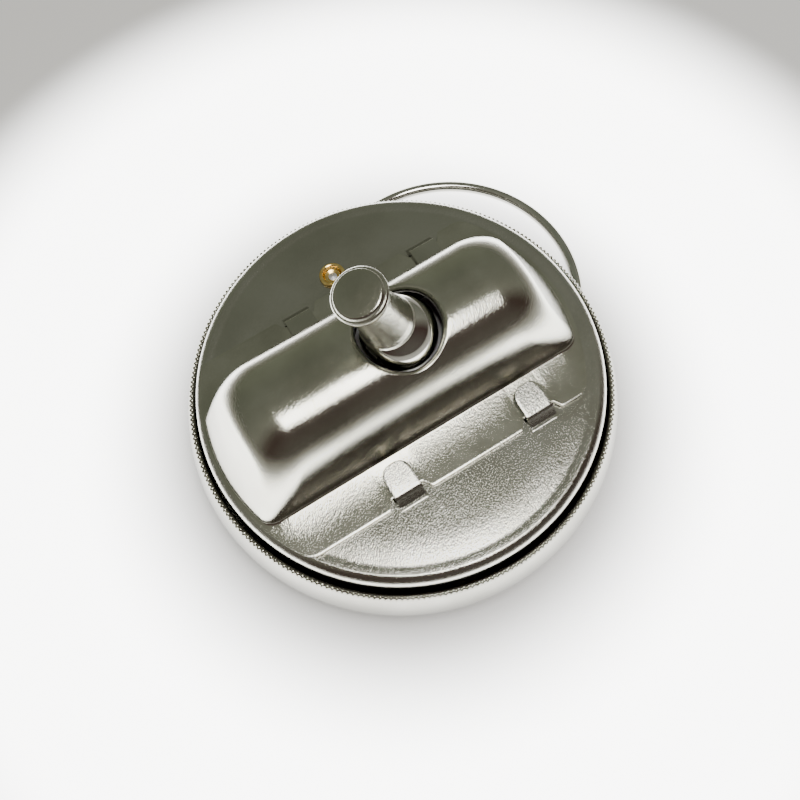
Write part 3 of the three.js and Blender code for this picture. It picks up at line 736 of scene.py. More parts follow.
# ------------------------------------------------------------------ housing
@dataclass
class PanShell:
    """Drawn pan with its four pressed feet and the fine beading round its rim."""

    floor_z: float = 2.5
    flat_r: float = 23.0
    wide_r: float = 27.5
    wide_z: float = 6.9
    rim_r: float = 26.15
    rim_z: float = 11.5
    lean: float = 1.8
    sheet: float = 0.6
    foot_ring: float = 17.0
    foot_top_r: float = 3.0
    foot_base_r: float = 2.2
    heading: float = 38.0
    beads: int = 262
    bead_r: float = 0.33
    bead_scale: Triple = (1.3, 0.88, 1.0)
    bead_in: float = 0.2
    bead_up: float = 0.18

    def wall(self, inset: float) -> list[Point]:
        """Half section of one face of the wall.

        Args:
            inset: how far it lies inside the outer face.

        Returns:
            Points from the floor's edge up to the rim.
        """
        across = self.wide_r - self.flat_r - inset
        down = self.wide_z - self.floor_z - inset
        bulge = [(self.flat_r + across * x, self.wide_z + down * z) for x, z in arc(0, 0, 1, -90, 0, 18)]
        top = self.rim_r - inset
        draw, rise = top - self.wide_r + inset, self.rim_z - self.wide_z
        shares = np.linspace(0, 1, 13)[1:]
        return bulge + [(self.wide_r - inset + draw * t**self.lean, self.wide_z + rise * t) for t in shares]

    def shell(self) -> Piece:
        """Turns the shell and presses its feet.

        Returns:
            The pan without its beading.
        """
        outer, inner = self.wall(0.0), self.wall(self.sheet)
        rim = arc(self.rim_r - self.sheet / 2, self.rim_z, self.sheet / 2, 0, 180, 8)[1:-1]
        support = self.flat_r - 0.5
        low, high = self.floor_z, self.floor_z + self.sheet
        profile = [(0.0, low), (support, low), *outer, *rim, *inner[::-1], (support, high), (0.0, high)]
        pan = lathe("pan_shell", profile, HOUSING_FACETS)
        for k in range(4):
            heading, ring = math.radians(self.heading + 90 * k), self.foot_ring * MM
            at = Matrix.Translation((ring * math.cos(heading), ring * math.sin(heading), 0))
            combine(pan, place(self.foot(), at), Cut.JOIN)
        return pan

    def foot(self) -> Piece:
        """Turns one pressed foot, flared into the floor.

        Returns:
            The foot on the Z axis.
        """
        base, top, low = self.foot_base_r, self.foot_top_r, self.floor_z
        flare = [(top - 0.1, low - 0.02, 0.4), (top + 0.9, low + 0.02, 0)]
        outside = fillet([(0, 0, 0), (base, 0, 0.45), *flare])
        inside = [(top + 0.9, low + 0.3), (0.0, low + 0.3)]
        return lathe("foot", [*outside, *inside], 48)

    def rim(self) -> Piece:
        """Grows the row of small beads pressed round the rim.

        Returns:
            One mesh object.
        """
        ring = (self.rim_r - self.bead_in) * MM
        tree = GeometryTree("rim_beading", {"Beads": self.beads, "Radius": ring, "Bead": self.bead_r * MM})
        feeds = {"Vertices": tree.inputs["Beads"], "Radius": tree.inputs["Radius"]}
        circle = tree.node("GeometryNodeMeshCircle", feeds)
        feeds = {"Segments": 8, "Rings": 6, "Radius": tree.inputs["Bead"]}
        bead = tree.node("GeometryNodeMeshUVSphere", feeds)
        where = tree.node("GeometryNodeInputPosition")
        facing = tree.node("FunctionNodeAlignRotationToVector", {"Vector": where.outputs[0]}, axis="X")
        feeds = {
            "Points": circle.outputs[0],
            "Instance": bead.outputs["Mesh"],
            "Rotation": facing.outputs[0],
            "Scale": self.bead_scale,
        }
        row = tree.node("GeometryNodeInstanceOnPoints", feeds)
        beads = tree.grow("rim_beading", row.outputs[0], POLISHED)
        return place(beads, Matrix.Translation((0, 0, (self.rim_z + self.bead_up) * MM)))

    def build(self) -> None:
        """Makes the pan and its beading."""
        # The pan takes the darker nickel, whose darkness is painted shade.
        hand_over(self.shell(), SHADED_PAN_NICKEL, Body.HOUSING, ["base_pan"])
        hand_over(self.rim(), POLISHED, Body.HOUSING, [], 60)


@dataclass
class LidPlate:
    """Lid with its rounded shoulder, four lanced tabs and the slots they leave."""

    radius: float = 25.0
    top: float = 14.6
    sheet: float = 0.6
    shoulder: float = 1.4
    crown: float = 0.2
    crown_in: float = 5.6
    crown_reach: float = 4.2
    skirt_z: float = 11.2
    hole_r: float = 2.5
    tab_xs: Point = (-6.6, 11.4)
    tab_half: float = 1.75
    tab_outer: float = 13.75
    tab_inner: float = 9.25
    cut_z: Point = (13.0, 16.0)
    eye_r: float = 1.25
    arbor_y: float = 16.0

    def disc(self) -> Piece:
        """Turns the lid.

        Returns:
            The plain disc, with the lever's opening.
        """
        r, top, s, t = self.radius, self.top, self.shoulder, self.sheet
        start, reach = r - self.crown_in, self.crown_reach
        crown = [(start + reach * k, top - self.crown * k * k) for k in np.linspace(0, 1, 10)]
        rim = arc(r - s, top - s, s, 90 - 8, 0, 14)
        outer = [(self.hole_r, top), (start - 0.3, top), *crown[:-1], *rim, (r, top - s - 0.1)]
        hem = [(r, self.skirt_z + 0.12), (r - 0.12, self.skirt_z), (r - t, self.skirt_z)]
        inner = [*arc(r - s, top - s, s - t, 0, 90, 8), (r - s - 0.2, top - t), (self.hole_r, top - t)]
        return lathe("lid_plate", [*outer, *hem, *inner], HOUSING_FACETS, closed=True)

    def tab(self, x: float, side: int) -> Piece:
        """One tab: out of the lid at its root, up, and folded inwards over the cover's flange.

        Args:
            x: its middle along the cover.
            side: 1 or -1, the side of the cover that it holds.

        Returns:
            A closed mesh.
        """
        middle = self.tab_outer - self.sheet / 2
        low = self.top - self.sheet / 2 + 0.01
        line = fillet(
            [
                (self.tab_outer + 0.75, low, 0), (middle + 0.45, low, 0.3),
                (middle - 0.5, 15.52, 0.55), (11.9, 15.66, 1.6), (self.tab_inner, 15.95, 0),
            ],
            steps=8,
            support=0.1,
        )
        line = spaced(line, 0.22)

        def half(share: float) -> float:
            """Half width of the tab, with a flared root and a round end.

            Args:
                share: share of the tab's length.

            Returns:
                The half width there.
            """
            end = max(0.0, (share - 0.66) / 0.34)
            root = 1 + 0.06 * max(0.0, 0.2 - share) * 5
            return self.tab_half * max(0.22, (1 - end**2.6) ** (1 / 2.6)) * root

        made = strip("tab", line, half, self.sheet, 10)
        if side < 0:
            place(made, Matrix.Scale(-1, 4, Vector((0, 1, 0))))
            made.data.flip_normals()
        return facing_out(place(made, Matrix.Translation((x * MM, 0, 0))))

    def build(self) -> None:
        """Makes the lid with its tabs, slots and eye."""
        lid = self.disc()
        low, high = self.cut_z
        cutters, tabs = [], []
        for x in self.tab_xs:
            for side in (-1, 1):
                near, far = sorted((side * (self.tab_inner + 0.1), side * (self.tab_outer - self.sheet)))
                half = self.tab_half + 0.15
                cutters.append(box("slot", (x - half, near, low), (x + half, far, high)))
                tabs.append(bevelled(self.tab(x, side), 0.09, 50))
        eye = lathe("eye", [(0.0, low), (self.eye_r, low), (self.eye_r, high), (0.0, high)], 48)
        cutters.append(place(eye, Matrix.Translation((0, self.arbor_y * MM, 0))))
        combine(lid, joined("cutters", cutters), Cut.REMOVE)
        lid = joined("lid_with_tabs", [lid, *tabs])
        hand_over(lid, SATIN, Body.HOUSING, ["top_plate"], 32)


@dataclass
class CoverShell:
    """Pillow-shaped cover in one sheet: hole lip, body, fillet at the foot, and notched flange."""

    foot: float = 15.25
    under: float = 14.65
    ridge: float = 28.5
    half_width: float = 8.1
    power: float = 2.8
    left_r: float = 23.75
    right_r: float = 21.8
    left_lean: float = 0.40
    right_lean: float = 0.485
    corner: float = 0.9
    shoulder: float = 3.2
    swell: float = 2.6
    dish: float = 0.28
    hole_x: float = 0.65
    hole_r: float = 4.72
    lip_r: float = 5.4
    lip_drop: float = 0.35
    sheet: float = 0.5
    flange_half: float = 13.8
    flange_left: float = 24.15
    flange_right: float = 22.3
    flange_corner: float = 2.2
    notch: float = 1.15
    notch_half: float = 2.8
    tab_xs: Point = (-6.6, 11.4)
    body_rows: int = 76
    section_points: int = 700
    halvings: int = 46
    furthest: float = 40.0
    smoothing: int = 25
    bend_pull: float = 3.0

    def skin(self, x: np.ndarray, y: np.ndarray, z: np.ndarray) -> np.ndarray:
        """Rough distance to the body's outer face.

        Args:
            x: places along the cover.
            y: places across it.
            z: heights.

        Returns:
            The distances, negative inside.
        """
        rise = np.maximum(z - self.under, 0.0)
        height = self.ridge - self.under
        q = ((np.abs(y) / self.half_width) ** self.power + (rise / height) ** self.power) ** (1 / self.power)
        section = (q - 1) / np.maximum(q, 1e-6) * np.hypot(y, rise)
        up = z - self.foot
        left = (np.hypot(x, y) - self.left_r + self.left_lean * up) / math.hypot(1, self.left_lean)
        right = (np.hypot(x, y) - self.right_r + self.right_lean * up) / math.hypot(1, self.right_lean)
        end = np.where(x < 0, left, right)
        share = np.clip(rise / height, 0, 1)
        rounding = self.corner + (self.shoulder - self.corner) * share + self.swell * share * (1 - share)
        a, b = section + rounding, end + rounding
        return np.hypot(np.maximum(a, 0), np.maximum(b, 0)) + np.minimum(np.maximum(a, b), 0) - rounding

    def outline(self, half: float, left: float, right: float, corner: float) -> tuple[list[Point], ...]:
        """Ends of a plan outline, for y above 0.

        Args:
            half: half width of the outline.
            left: radius of the left end about the lid's axis.
            right: radius of the right end.
            corner: radius of the corners.

        Returns:
            Points from the right end round to the side, and from the side to the left end.
        """

        def end(radius: float) -> list[Point]:
            """Arc about the lid's axis, then the corner.

            Args:
                radius: radius of the arc.

            Returns:
                Points from the X axis to the side.
            """
            cx = math.sqrt((radius - corner) ** 2 - (half - corner) ** 2)
            turn = math.degrees(math.atan2(half - corner, cx))
            return [*arc(0, 0, radius, 0, turn, 24), *arc(cx, half - corner, corner, turn, 90, 8)[1:]]

        return end(right), [(-x, y) for x, y in end(left)[::-1]]

    def flange_line(self) -> list[Point]:
        """Flange outline for y above 0, with its two notches.

        Returns:
            Points from the right end to the left end.
        """
        edge, n = self.flange_half, self.notch_half
        deep, foot = edge - self.notch, n - 0.7
        right, left = self.outline(edge, self.flange_left, self.flange_right, self.flange_corner)
        side: list[Triple] = [(*right[-1], 0)]
        for x in sorted(self.tab_xs, reverse=True):
            side += [(x + n, edge, 0.5), (x + foot, deep, 0.4), (x - foot, deep, 0.4), (x - n, edge, 0.5)]
        side.append((*left[0], 0))
        return spaced([*right[:-1], *fillet(side, 4), *left[1:]], 0.5)

    def columns(self) -> list[tuple[Point, Point]]:
        """Matches the body's foot with the flange's outline, once round.

        Returns:
            Pairs of a foot point and an edge point.
        """
        right, left = self.outline(self.half_width, self.left_r, self.right_r, self.corner)
        flange = self.flange_line()
        inner_right, inner_left = 14.6, -13.2
        foot_right = spaced([*right, (inner_right, self.half_width)], 0.3)
        foot_left = spaced([(inner_left, self.half_width), *left], 0.3)
        start = next(i for i, p in enumerate(flange) if p[0] < inner_right)
        stop = next(i for i, p in enumerate(flange) if p[0] < inner_left)

        def matched(some: list[Point], foot: list[Point]) -> list[Point]:
            """Spaces points along the foot as an outline's points are spaced.

            Args:
                some: points of the outline.
                foot: points of the foot.

            Returns:
                As many points of the foot.
            """
            s = np.cumsum([0.0] + [math.dist(a, b) for a, b in zip(some, some[1:])])
            f = np.cumsum([0.0] + [math.dist(a, b) for a, b in zip(foot, foot[1:])])
            at = s / s[-1] * f[-1]
            xs, ys = np.array(foot).T
            return list(zip(np.interp(at, f, xs), np.interp(at, f, ys)))

        feet = matched(flange[: start + 1], foot_right)[:-1]
        feet += [(x, self.half_width) for x, _ in flange[start:stop]]
        feet += matched(flange[stop - 1 :], foot_left)[1:]
        upper = list(zip(feet, flange))
        lower = [((fx, -fy), (x, -y)) for (fx, fy), (x, y) in upper[-2:0:-1]]
        return upper + lower

    def body(self, headings: np.ndarray, low: np.ndarray) -> tuple[np.ndarray, np.ndarray]:
        """Sections of the body in upright planes through the hole's axis.

        Args:
            headings: direction of each plane, in radians.
            low: height at which each section starts.

        Returns:
            Radius from the hole's axis and height, each rows by columns, from the foot up to the lip.
        """
        lift = np.linspace(0, math.radians(88), self.section_points)[:, None]
        near = np.zeros((self.section_points, len(headings)))
        far = near + self.furthest
        for _ in range(self.halvings):
            mid = (near + far) / 2
            r = mid * np.cos(lift)
            x, y = self.hole_x + r * np.cos(headings), r * np.sin(headings)
            inside = self.skin(x, y, self.foot + mid * np.sin(lift)) < 0
            near, far = np.where(inside, mid, near), np.where(inside, far, mid)
        r, z = near * np.cos(lift), self.foot + near * np.sin(lift)
        radii, heights = [], []
        for c in range(len(headings)):
            rc, zc = r[:, c], z[:, c]
            step = np.hypot(np.diff(rc), np.diff(zc))
            along = np.concatenate([[0], np.cumsum(step)])
            turn = np.unwrap(np.arctan2(np.diff(zc), np.diff(rc)))
            bend = np.concatenate([[0], np.abs(np.diff(turn)), [0]])
            bend = np.convolve(bend, np.ones(self.smoothing) / self.smoothing, "same")
            weight = np.concatenate([[0], np.cumsum(step + self.bend_pull * (bend[:-1] + bend[1:]) / 2)])
            first = np.interp(low[c], zc, weight)
            last = np.interp(-self.lip_r, -rc, weight)
            at = np.interp(np.linspace(first, last, self.body_rows), weight, along)
            radii.append(np.interp(at, along, rc))
            heights.append(np.interp(at, along, zc))
        return np.array(radii).T, np.array(heights).T

    def around(self, headings: np.ndarray, r: np.ndarray, z: np.ndarray) -> np.ndarray:
        """Row of points at a heading, a radius from the hole's axis and a height each."""
        return np.stack([self.hole_x + r * np.cos(headings), r * np.sin(headings), z], axis=1)

    def lip_rows(self, headings: np.ndarray, radii: np.ndarray, heights: np.ndarray) -> list[np.ndarray]:
        """Rolls the hole's lip on from the top of the body.

        Args:
            headings: direction of each section.
            radii: radii of the body's rows.
            heights: heights of the body's rows.

        Returns:
            Rows from the lip's lower edge up to the body.
        """
        turn = np.arctan2(heights[-1] - heights[-2], radii[-1] - radii[-2]) % (2 * math.pi)
        roll = (self.lip_r - self.hole_r) / (1 + np.sin(turn))
        rows = []
        for share in np.linspace(0, 1, 11)[1:]:
            a = turn + (1.5 * math.pi - turn) * share
            r, z = roll * (np.sin(a) - np.sin(turn)), roll * (np.cos(a) - np.cos(turn))
            rows.append(self.around(headings, self.lip_r + r, heights[-1] - z))
        drop = rows[-1].copy()
        drop[:, 2] -= self.lip_drop
        return [drop, *rows[::-1]]

    def foot_rows(
        self, start: np.ndarray, edge: np.ndarray, lift: np.ndarray, fillets: np.ndarray
    ) -> list[np.ndarray]:
        """Runs the body out into the flange.

        Args:
            start: lowest row of the body.
            edge: outline of the flange.
            lift: how far the dished flange stands up at the body.
            fillets: radius of the fillet at the foot.

        Returns:
            Rows from the fillet out to the edge.
        """
        rows = []
        outward = edge - start[:, :2]
        outward /= np.hypot(*outward.T)[:, None]
        for angle in np.linspace(0, 90, 7)[1:]:
            a = math.radians(angle)
            plan = start[:, :2] + outward * (fillets * (1 - math.cos(a)))[:, None]
            drop = (start[:, 2] - self.foot - lift) * math.sin(a)
            rows.append(np.column_stack([plan, start[:, 2] - drop]))
        base = rows[-1][:, :2]
        for share in (0.05, 0.15, 0.3, 0.45, 0.6, 0.8, 0.95, 1.0):
            height = self.foot + lift * max(0.0, 1 - share / 0.8) ** 2
            rows.append(np.column_stack([base + (edge - base) * share, height]))
        return rows

    def build(self) -> None:
        """Makes the cover."""
        columns = self.columns()
        feet = np.array([f for f, _ in columns])
        edge = np.array([e for _, e in columns])
        headings = np.arctan2(feet[:, 1], feet[:, 0] - self.hole_x)
        gap = np.hypot(*(edge - feet).T)
        fillets = np.minimum(0.45, 0.6 * gap)
        lift = np.minimum(self.dish, 0.06 * gap)
        radii, heights = self.body(headings, self.foot + lift + fillets)
        rows = self.lip_rows(headings, radii, heights)
        rows += [self.around(headings, r, z) for r, z in zip(radii[::-1], heights[::-1])]
        rows += self.foot_rows(rows[-1], edge, lift, fillets)
        cover = add_object("cover_shell", np.concatenate(rows), grid_faces(len(rows), len(columns)))
        if sum(p.normal.z * p.area for p in cover.data.polygons) < 0:
            cover.data.flip_normals()
        thicken(cover, self.sheet)
        bevelled(facing_out(cover), 0.08, 60)
        hand_over(cover, POLISHED, Body.HOUSING, ["bar_cover"], 40)


@dataclass
class Bushes:
    """Hollow brass bearings of the intermediate arbor."""

    y: float = 16.0
    lid_top: float = 14.6
    bridge_top: float = 9.2

    def bush(self, name: str, seat: float, outline: Sequence[Triple], facets: int) -> Piece:
        """Turns one bush on the arbor's axis.

        Args:
            name: name of the piece.
            seat: height of the face it sits on.
            outline: radius, height over the seat and rounding of each corner.
            facets: facets round the axis.

        Returns:
            The object.
        """
        line = fillet([(r, seat + z, rounding) for r, z, rounding in (*outline, outline[0])], support=0.03)
        made = lathe(name, line[:-1], facets, closed=True)
        return place(made, Matrix.Translation((0, self.y * MM, 0)))

    def build(self) -> None:
        """Makes the bush that shows on the lid and the one in the bridge."""
        eyelet = [
            (0.3, -0.7, 0), (1.15, -0.7, 0.05), (1.15, 0.04, 0.02), (1.68, 0.04, 0.03),
            (1.68, 0.36, 0.2), (1.42, 0.5, 0.16), (1.22, 0.4, 0.12), (1.0, -0.1, 0.1),
            (0.3, -0.3, 0.05),
        ]
        upper = self.bush("lid_bush", self.lid_top, eyelet, 64)
        hand_over(upper, BRIGHT_BRASS, Body.HOUSING, ["upper_bush"])
        plain = [
            (0.65, -1.0, 0), (1.3, -1.0, 0.06), (1.3, 0.04, 0.02), (1.9, 0.04, 0.04),
            (1.9, 0.2, 0.08), (0.65, 0.2, 0.1),
        ]
        lower = self.bush("bridge_bush", self.bridge_top, plain, 48)
        hand_over(lower, BRASS, Body.HOUSING, ["lower_bush"])


@dataclass
class BaseScrews:
    """Three slotted cheese-head screws in the pan's floor."""

    ring: float = 20.6
    phase: float = 18.0
    head_r: float = 1.7
    head_low: float = 1.55
    head_high: float = 2.45
    shank_r: float = 0.95
    shank_top: float = 12.2
    slot: float = 0.44
    slot_deep: float = 0.42

    def build(self) -> None:
        """Makes the three screws as one piece."""
        line = fillet(
            [
                (0.0, self.head_low, 0), (self.head_r, self.head_low, 0.22),
                (self.head_r, self.head_high, 0.05), (self.shank_r, self.head_high, 0.05),
                (self.shank_r, self.shank_top, 0.2), (0.0, self.shank_top, 0),
            ],
            support=0.05,
        )
        unit = lathe("screw", line, 40)
        half = self.slot / 2
        combine(unit, box("slot", (-3, -half, 0), (3, half, self.head_low + self.slot_deep)), Cut.REMOVE)
        screws = copies_on_circle("base_screws", unit, STEEL, 3, self.ring, self.phase)
        hand_over(screws, STEEL, Body.HOUSING, ["base_screw_1", "base_screw_2", "base_screw_3"])


@dataclass
class ReturnSpring:
    """Coil spring behind the rack, along X, made at its rest length only."""

    start: float = -18.9
    end: float = -11.5
    y: float = -5.8
    z: float = 16.2
    radius: float = 1.05
    wire: float = 0.2
    turns: float = 6.0
    travel: float = 4.3

    def build(self) -> None:
        """Makes the spring."""
        length = self.end - self.start
        made = coil("rack_spring", SPRING_WIRE, self.turns, self.radius, length, self.wire)
        anchor = (self.start * MM, self.y * MM, self.z * MM)
        lay = Matrix.Translation(anchor) @ Matrix.Rotation(math.pi / 2, 4, "Y")
        hand_over(facing_out(place(made, lay)), SPRING_WIRE, Body.HOUSING, ["return_spring"])
        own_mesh(made)


# ------------------------------------------------------------------ lever
@dataclass
class Lever:
    """Thumb lever: cap, tapered stem and flared foot over the ball. Heights count from the ball's centre."""

    x: float = 0.65
    pivot_z: float = 26.2
    tilt: float = 15.5
    ball_r: float = 4.3
    bore_r: float = 0.98

    def lean(self) -> Matrix:
        """Place of the lever's own axis at rest."""
        at = Matrix.Translation((self.x * MM, 0, self.pivot_z * MM))
        return at @ Matrix.Rotation(math.radians(-self.tilt), 4, "Y")

    def build(self) -> None:
        """Makes the lever and the ball that it turns on."""
        line = fillet(
            [
                (0.0, -4.2, 0), (0.9, -4.2, 0.1), (0.9, 4.95, 0.3), (2.0, 4.72, 0.5),
                (2.82, 4.42, 0.1), (3.03, 4.47, 0.12), (3.1, 4.68, 0.12), (2.96, 4.95, 0.25),
                (2.8, 5.7, 1.2), (2.54, 7.6, 4.0), (2.06, 12.0, 1.4), (2.22, 12.62, 0.3),
                (2.7, 12.78, 0.25), (2.9, 13.1, 0.2), (2.9, 13.5, 0.12), (2.74, 13.72, 0.12),
                (2.62, 13.72, 0.1), (2.42, 14.08, 0.4), (1.6, 14.18, 2.0), (0.0, 14.28, 0),
            ],
            steps=8,
            support=0.05,
        )
        stick = place(lathe("lever_stick", spaced(line, 0.35), 96), self.lean())
        hand_over(stick, POLISHED, Body.LEVER, ["thumb_lever"], 50)
        low = math.degrees(math.asin(self.bore_r / self.ball_r))
        skin = arc(0, 0, self.ball_r, -90 + low, 90 - low, 64)
        bore = [(self.bore_r, z) for z in np.linspace(skin[-1][1], skin[0][1], 6)[1:-1]]
        ball = place(lathe("lever_pivot_ball", [*skin, *bore], 96, closed=True), self.lean())
        hand_over(ball, MIRROR, Body.LEVER, ["lever_ball"], 50)


# ------------------------------------------------------------------ ring and strap
@dataclass
class FingerRing:
    """Closed hoop of round wire, held by a riveted strap under the pan."""

    heading: float = 38.0
    wire: float = 0.74
    mean: float = 18.15
    wire_z: float = 1.55
    bar: float = 0.45
    strap_half: float = 2.5
    strap_end: float = 8.2
    strap_sheet: float = 0.5
    hump: float = 2.4
    pan_floor: float = 2.45

    def hoop(self) -> Piece:
        """Bends the wire hoop and lays its far side on the table.

        Returns:
            The hoop.
        """
        turns, sides = 176, 22
        points, faces = [], []
        for a in np.linspace(0, 2 * math.pi, turns, endpoint=False):
            for b in np.linspace(0, 2 * math.pi, sides, endpoint=False):
                out = self.mean + self.wire * math.cos(b)
                points.append((out * math.cos(a), out * math.sin(a), self.wire * math.sin(b)))
        for i in range(turns):
            here, there = i * sides, (i + 1) % turns * sides
            for j in range(sides):
                k = (j + 1) % sides
                faces.append((here + j, there + j, there + k, here + k))
        hoop = facing_out(add_object("ring_hoop", points, faces))
        turn, bar = math.radians(self.heading), self.bar * MM
        droop = math.asin((self.wire_z - self.wire - 0.02) / (2 * self.mean))
        at = Matrix.Translation((bar * math.cos(turn), bar * math.sin(turn), self.wire_z * MM))
        lie = at @ Matrix.Rotation(turn, 4, "Z") @ Matrix.Rotation(droop, 4, "Y")
        return place(hoop, lie @ Matrix.Translation((self.mean * MM, 0, 0)))

    def strap(self) -> Piece:
        """Bends the bowed strap with its round ends.

        Returns:
            The strap, across the ring's heading.
        """
        half = self.strap_sheet / 2
        high, low = self.pan_floor - half, half
        right = [(self.hump + 0.02, low, 0.5), (self.hump + 0.92, high, 0.5), (self.strap_end, high, 0)]
        line = fillet([*[(-x, z, r) for x, z, r in right[::-1]], *right], support=0.08)

        def width(share: float) -> float:
            """Half width at a share of the length, round at both ends."""
            end = max(0.0, abs(2 * share - 1) - 0.76) / 0.24
            return self.strap_half * max(0.3, (1 - end**2.4) ** (1 / 2.4))

        made = bevelled(strip("strap", spaced(line, 0.3), width, self.strap_sheet, 12), 0.08, 50)
        return place(made, Matrix.Rotation(math.radians(self.heading - 90), 4, "Z"))

    def build(self) -> None:
        """Makes the hoop and the strap."""
        hand_over(self.hoop(), MIRROR, Body.RING, ["finger_ring"], 60)
        hand_over(self.strap(), POLISHED, Body.HOUSING, ["ring_bail"])


# ------------------------------------------------------------------ carried pieces
class CarriedNodes:
    """CAD nodes that stay and only get their metal."""

    def build(self) -> None:
        """Dresses every shown CAD node by its record slot."""
        slots = {s["node"]: s["material_slot"] for s in frame["record"]["subparts"]}
        for name, obj in frame["nodes"].items():
            if obj.hide_render:
                continue
            metal = BY_SLOT[slots[name]].build()
            obj.data.materials.clear()
            obj.data.materials.append(metal)
            LOG.info("%s: %s", name, metal.name)


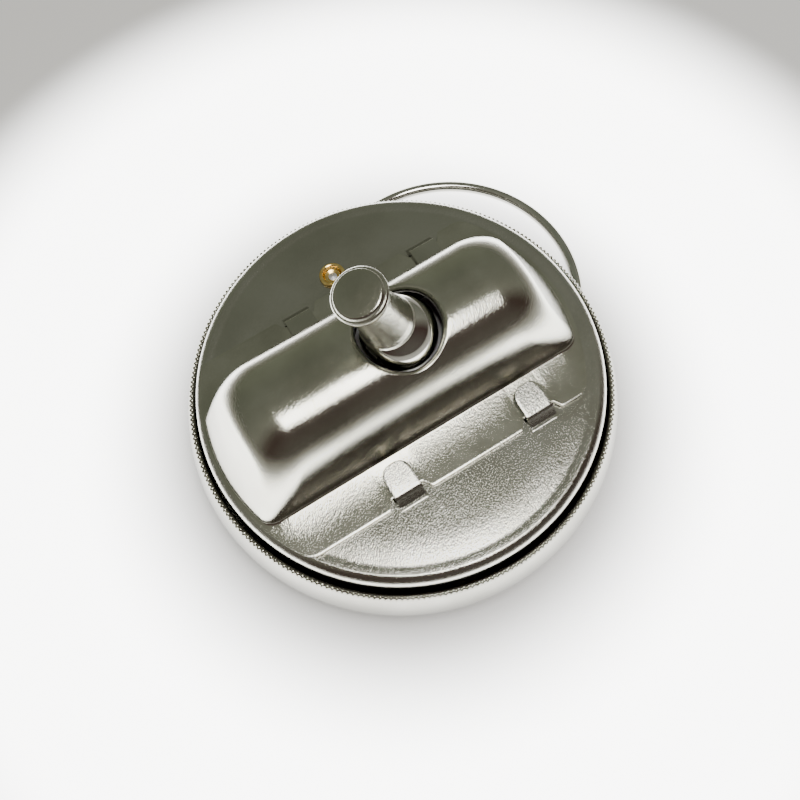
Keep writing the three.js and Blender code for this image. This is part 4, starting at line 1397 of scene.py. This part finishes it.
# ------------------------------------------------------------------ studio
@dataclass
class Studio:
    """Pale table with a painted pool of light and painted shade round the pan, one soft lamp, a dim room and
    the camera.

    Args:
        half_floor: half the table's side.
        eye: place of the camera.
        target: the point it faces.
        roll: its turn about the line of sight, in degrees.
        lens: its focal length.
        painted_glow: strength of the light painted onto the table as glow, which stands for light thrown up
            by a white bench.
        painted_pool: distances from the centre at which that painted light starts, is full, starts to fall
            and ends; inside where it starts the table is left darker as painted shade round the pan.
        lamp_at: place of the lamp.
        lamp_aim: the point it faces.
        lamp_size: its width along X, and its depth.
        lamp_watts: its power.
        lamp_tint: its colour.
        room: strength of the room's light.
        room_tones: the room's colour at shares of the way from -Y to +Y.
    """

    half_floor: float = 900.0
    eye: Triple = (-15.56, -34.01, 110.06)
    target: Triple = (-1.30, -2.30, 13.2)
    roll: float = 7.74
    lens: float = 38.25
    painted_glow: float = 7.5
    painted_pool: tuple[float, float, float, float] = (26.0, 46.0, 62.0, 84.0)
    lamp_at: Triple = (28.0, -105.0, 500.0)
    lamp_aim: Triple = (20.0, -20.0, 0.0)
    lamp_size: Point = (165.0, 230.0)
    lamp_watts: float = 1.9
    lamp_tint: Triple = (1.0, 0.98, 0.96)
    room: float = 1.7
    room_tones: tuple[tuple[float, Triple], ...] = (
        (0.0, (0.10, 0.09, 0.08)),
        (0.28, (0.055, 0.035, 0.03)),
        (0.5, (0.20, 0.20, 0.17)),
        (0.75, (0.135, 0.142, 0.115)),
        (1.0, (0.16, 0.17, 0.13)),
    )

    def table(self) -> None:
        """Makes the pale table, glowing in a painted pool of light that is held back next to the pan as
        painted shade.
        """
        h = self.half_floor
        floor = add_object("table", [(-h, -h, 0), (h, -h, 0), (h, h, 0), (-h, h, 0)], [(0, 1, 2, 3)])
        material = bpy.data.materials.new("pale_table")
        material.use_nodes = True
        tree = material.node_tree
        position = add_node(tree, "ShaderNodeTexCoord").outputs["Object"]
        noise = add_node(tree, "ShaderNodeTexNoise", {"Scale": 12.0, "Vector": position})
        feeds = {"Factor": noise.outputs["Fac"], "A": (0.90, 0.90, 0.89, 1), "B": (0.93, 0.93, 0.92, 1)}
        colour = add_node(tree, "ShaderNodeMix", feeds, data_type="RGBA")
        far = add_node(tree, "ShaderNodeVectorMath", {0: position}, operation="LENGTH").outputs["Value"]
        # Painted light: the glow rises from none close round the pan (painted shade) to full, then falls away
        # at the pool's edge.
        near, full, fall, end = self.painted_pool
        shares = []
        for start, stop, low, high in ((near, full, 0.0, self.painted_glow), (fall, end, 1.0, 0.0)):
            span = zip(("From Min", "From Max", "To Min", "To Max"), (start * MM, stop * MM, low, high))
            feeds = {"Value": far, **dict(span)}
            share = add_node(tree, "ShaderNodeMapRange", feeds, interpolation_type="SMOOTHSTEP")
            shares.append(share.outputs["Result"])
        painted_glow = add_node(tree, "ShaderNodeMath", dict(enumerate(shares)), operation="MULTIPLY")
        feeds = {
            "Base Color": colour.outputs["Result"],
            "Roughness": 0.9,
            "Specular IOR Level": 0.1,
            "Emission Color": (1.0, 1.0, 0.99, 1.0),
            "Emission Strength": painted_glow.outputs[0],
        }
        feed(tree, tree.nodes["Principled BSDF"], feeds)
        floor.data.materials.append(material)

    def lamp(self) -> None:
        """Hangs the soft rectangular lamp, its width kept along X."""
        data = bpy.data.lights.new("overhead_box", "AREA")
        data.shape = "RECTANGLE"
        data.size, data.size_y = self.lamp_size[0] * MM, self.lamp_size[1] * MM
        data.energy = self.lamp_watts
        data.color = self.lamp_tint
        lamp = bpy.data.objects.new("overhead_box", data)
        at = Vector(self.lamp_at)
        away = (at - Vector(self.lamp_aim)).normalized()
        across = (Vector((1, 0, 0)) - away * away.x).normalized()
        turn = Matrix((across, away.cross(across), away)).transposed().to_4x4()
        lamp.matrix_world = Matrix.Translation(at * MM) @ turn
        bpy.context.scene.collection.objects.link(lamp)

    def surroundings(self) -> None:
        """Lights the dim room round the table."""
        world = bpy.data.worlds.new("room")
        world.use_nodes = True
        tree = world.node_tree
        direction = add_node(tree, "ShaderNodeTexCoord").outputs["Generated"]
        split = add_node(tree, "ShaderNodeSeparateXYZ", {"Vector": direction})
        feeds = {0: split.outputs["Y"], 1: 0.5, 2: 0.5}
        share = add_node(tree, "ShaderNodeMath", feeds, operation="MULTIPLY_ADD")
        ramp = add_node(tree, "ShaderNodeValToRGB", {"Fac": share.outputs[0]})
        elements = ramp.color_ramp.elements
        first, *middle, last = self.room_tones
        for element, (share_at, colour) in zip(elements, (first, last)):
            element.position, element.color = share_at, (*colour, 1)
        for position, colour in middle:
            elements.new(position).color = (*colour, 1)
        feed(tree, tree.nodes["Background"], {"Color": ramp.outputs["Color"], "Strength": self.room})
        bpy.context.scene.world = world

    def camera(self) -> None:
        """Sets the camera, above the front left."""
        eye, target = Vector(self.eye), Vector(self.target)
        back = (eye - target).normalized()
        right = Vector((-back.y, back.x, 0)).normalized()
        up = back.cross(right)
        turn = math.radians(self.roll)
        across = math.cos(turn) * right - math.sin(turn) * up
        above = math.sin(turn) * right + math.cos(turn) * up
        data = bpy.data.cameras.new("camera")
        data.lens = self.lens
        data.sensor_width = 36.0
        data.clip_start = 0.005
        camera = bpy.data.objects.new("camera", data)
        facing = Matrix((across, above, back)).transposed().to_4x4()
        camera.matrix_world = Matrix.Translation(eye * MM) @ facing
        bpy.context.scene.collection.objects.link(camera)
        bpy.context.scene.camera = camera

    def build(self) -> None:
        """Sets the whole stage."""
        self.camera()
        self.table()
        self.surroundings()
        self.lamp()


def main() -> None:
    """Builds the stage and every piece, in order."""
    logging.basicConfig(level=logging.INFO, format="%(name)s %(message)s")
    housing = (PanShell, LidPlate, CoverShell, Bushes, BaseScrews)
    for maker in (Studio, *housing, ReturnSpring, Lever, FingerRing, CarriedNodes):
        LOG.info("building %s", maker.__name__)
        maker().build()


if __name__ == "__main__":
    main()
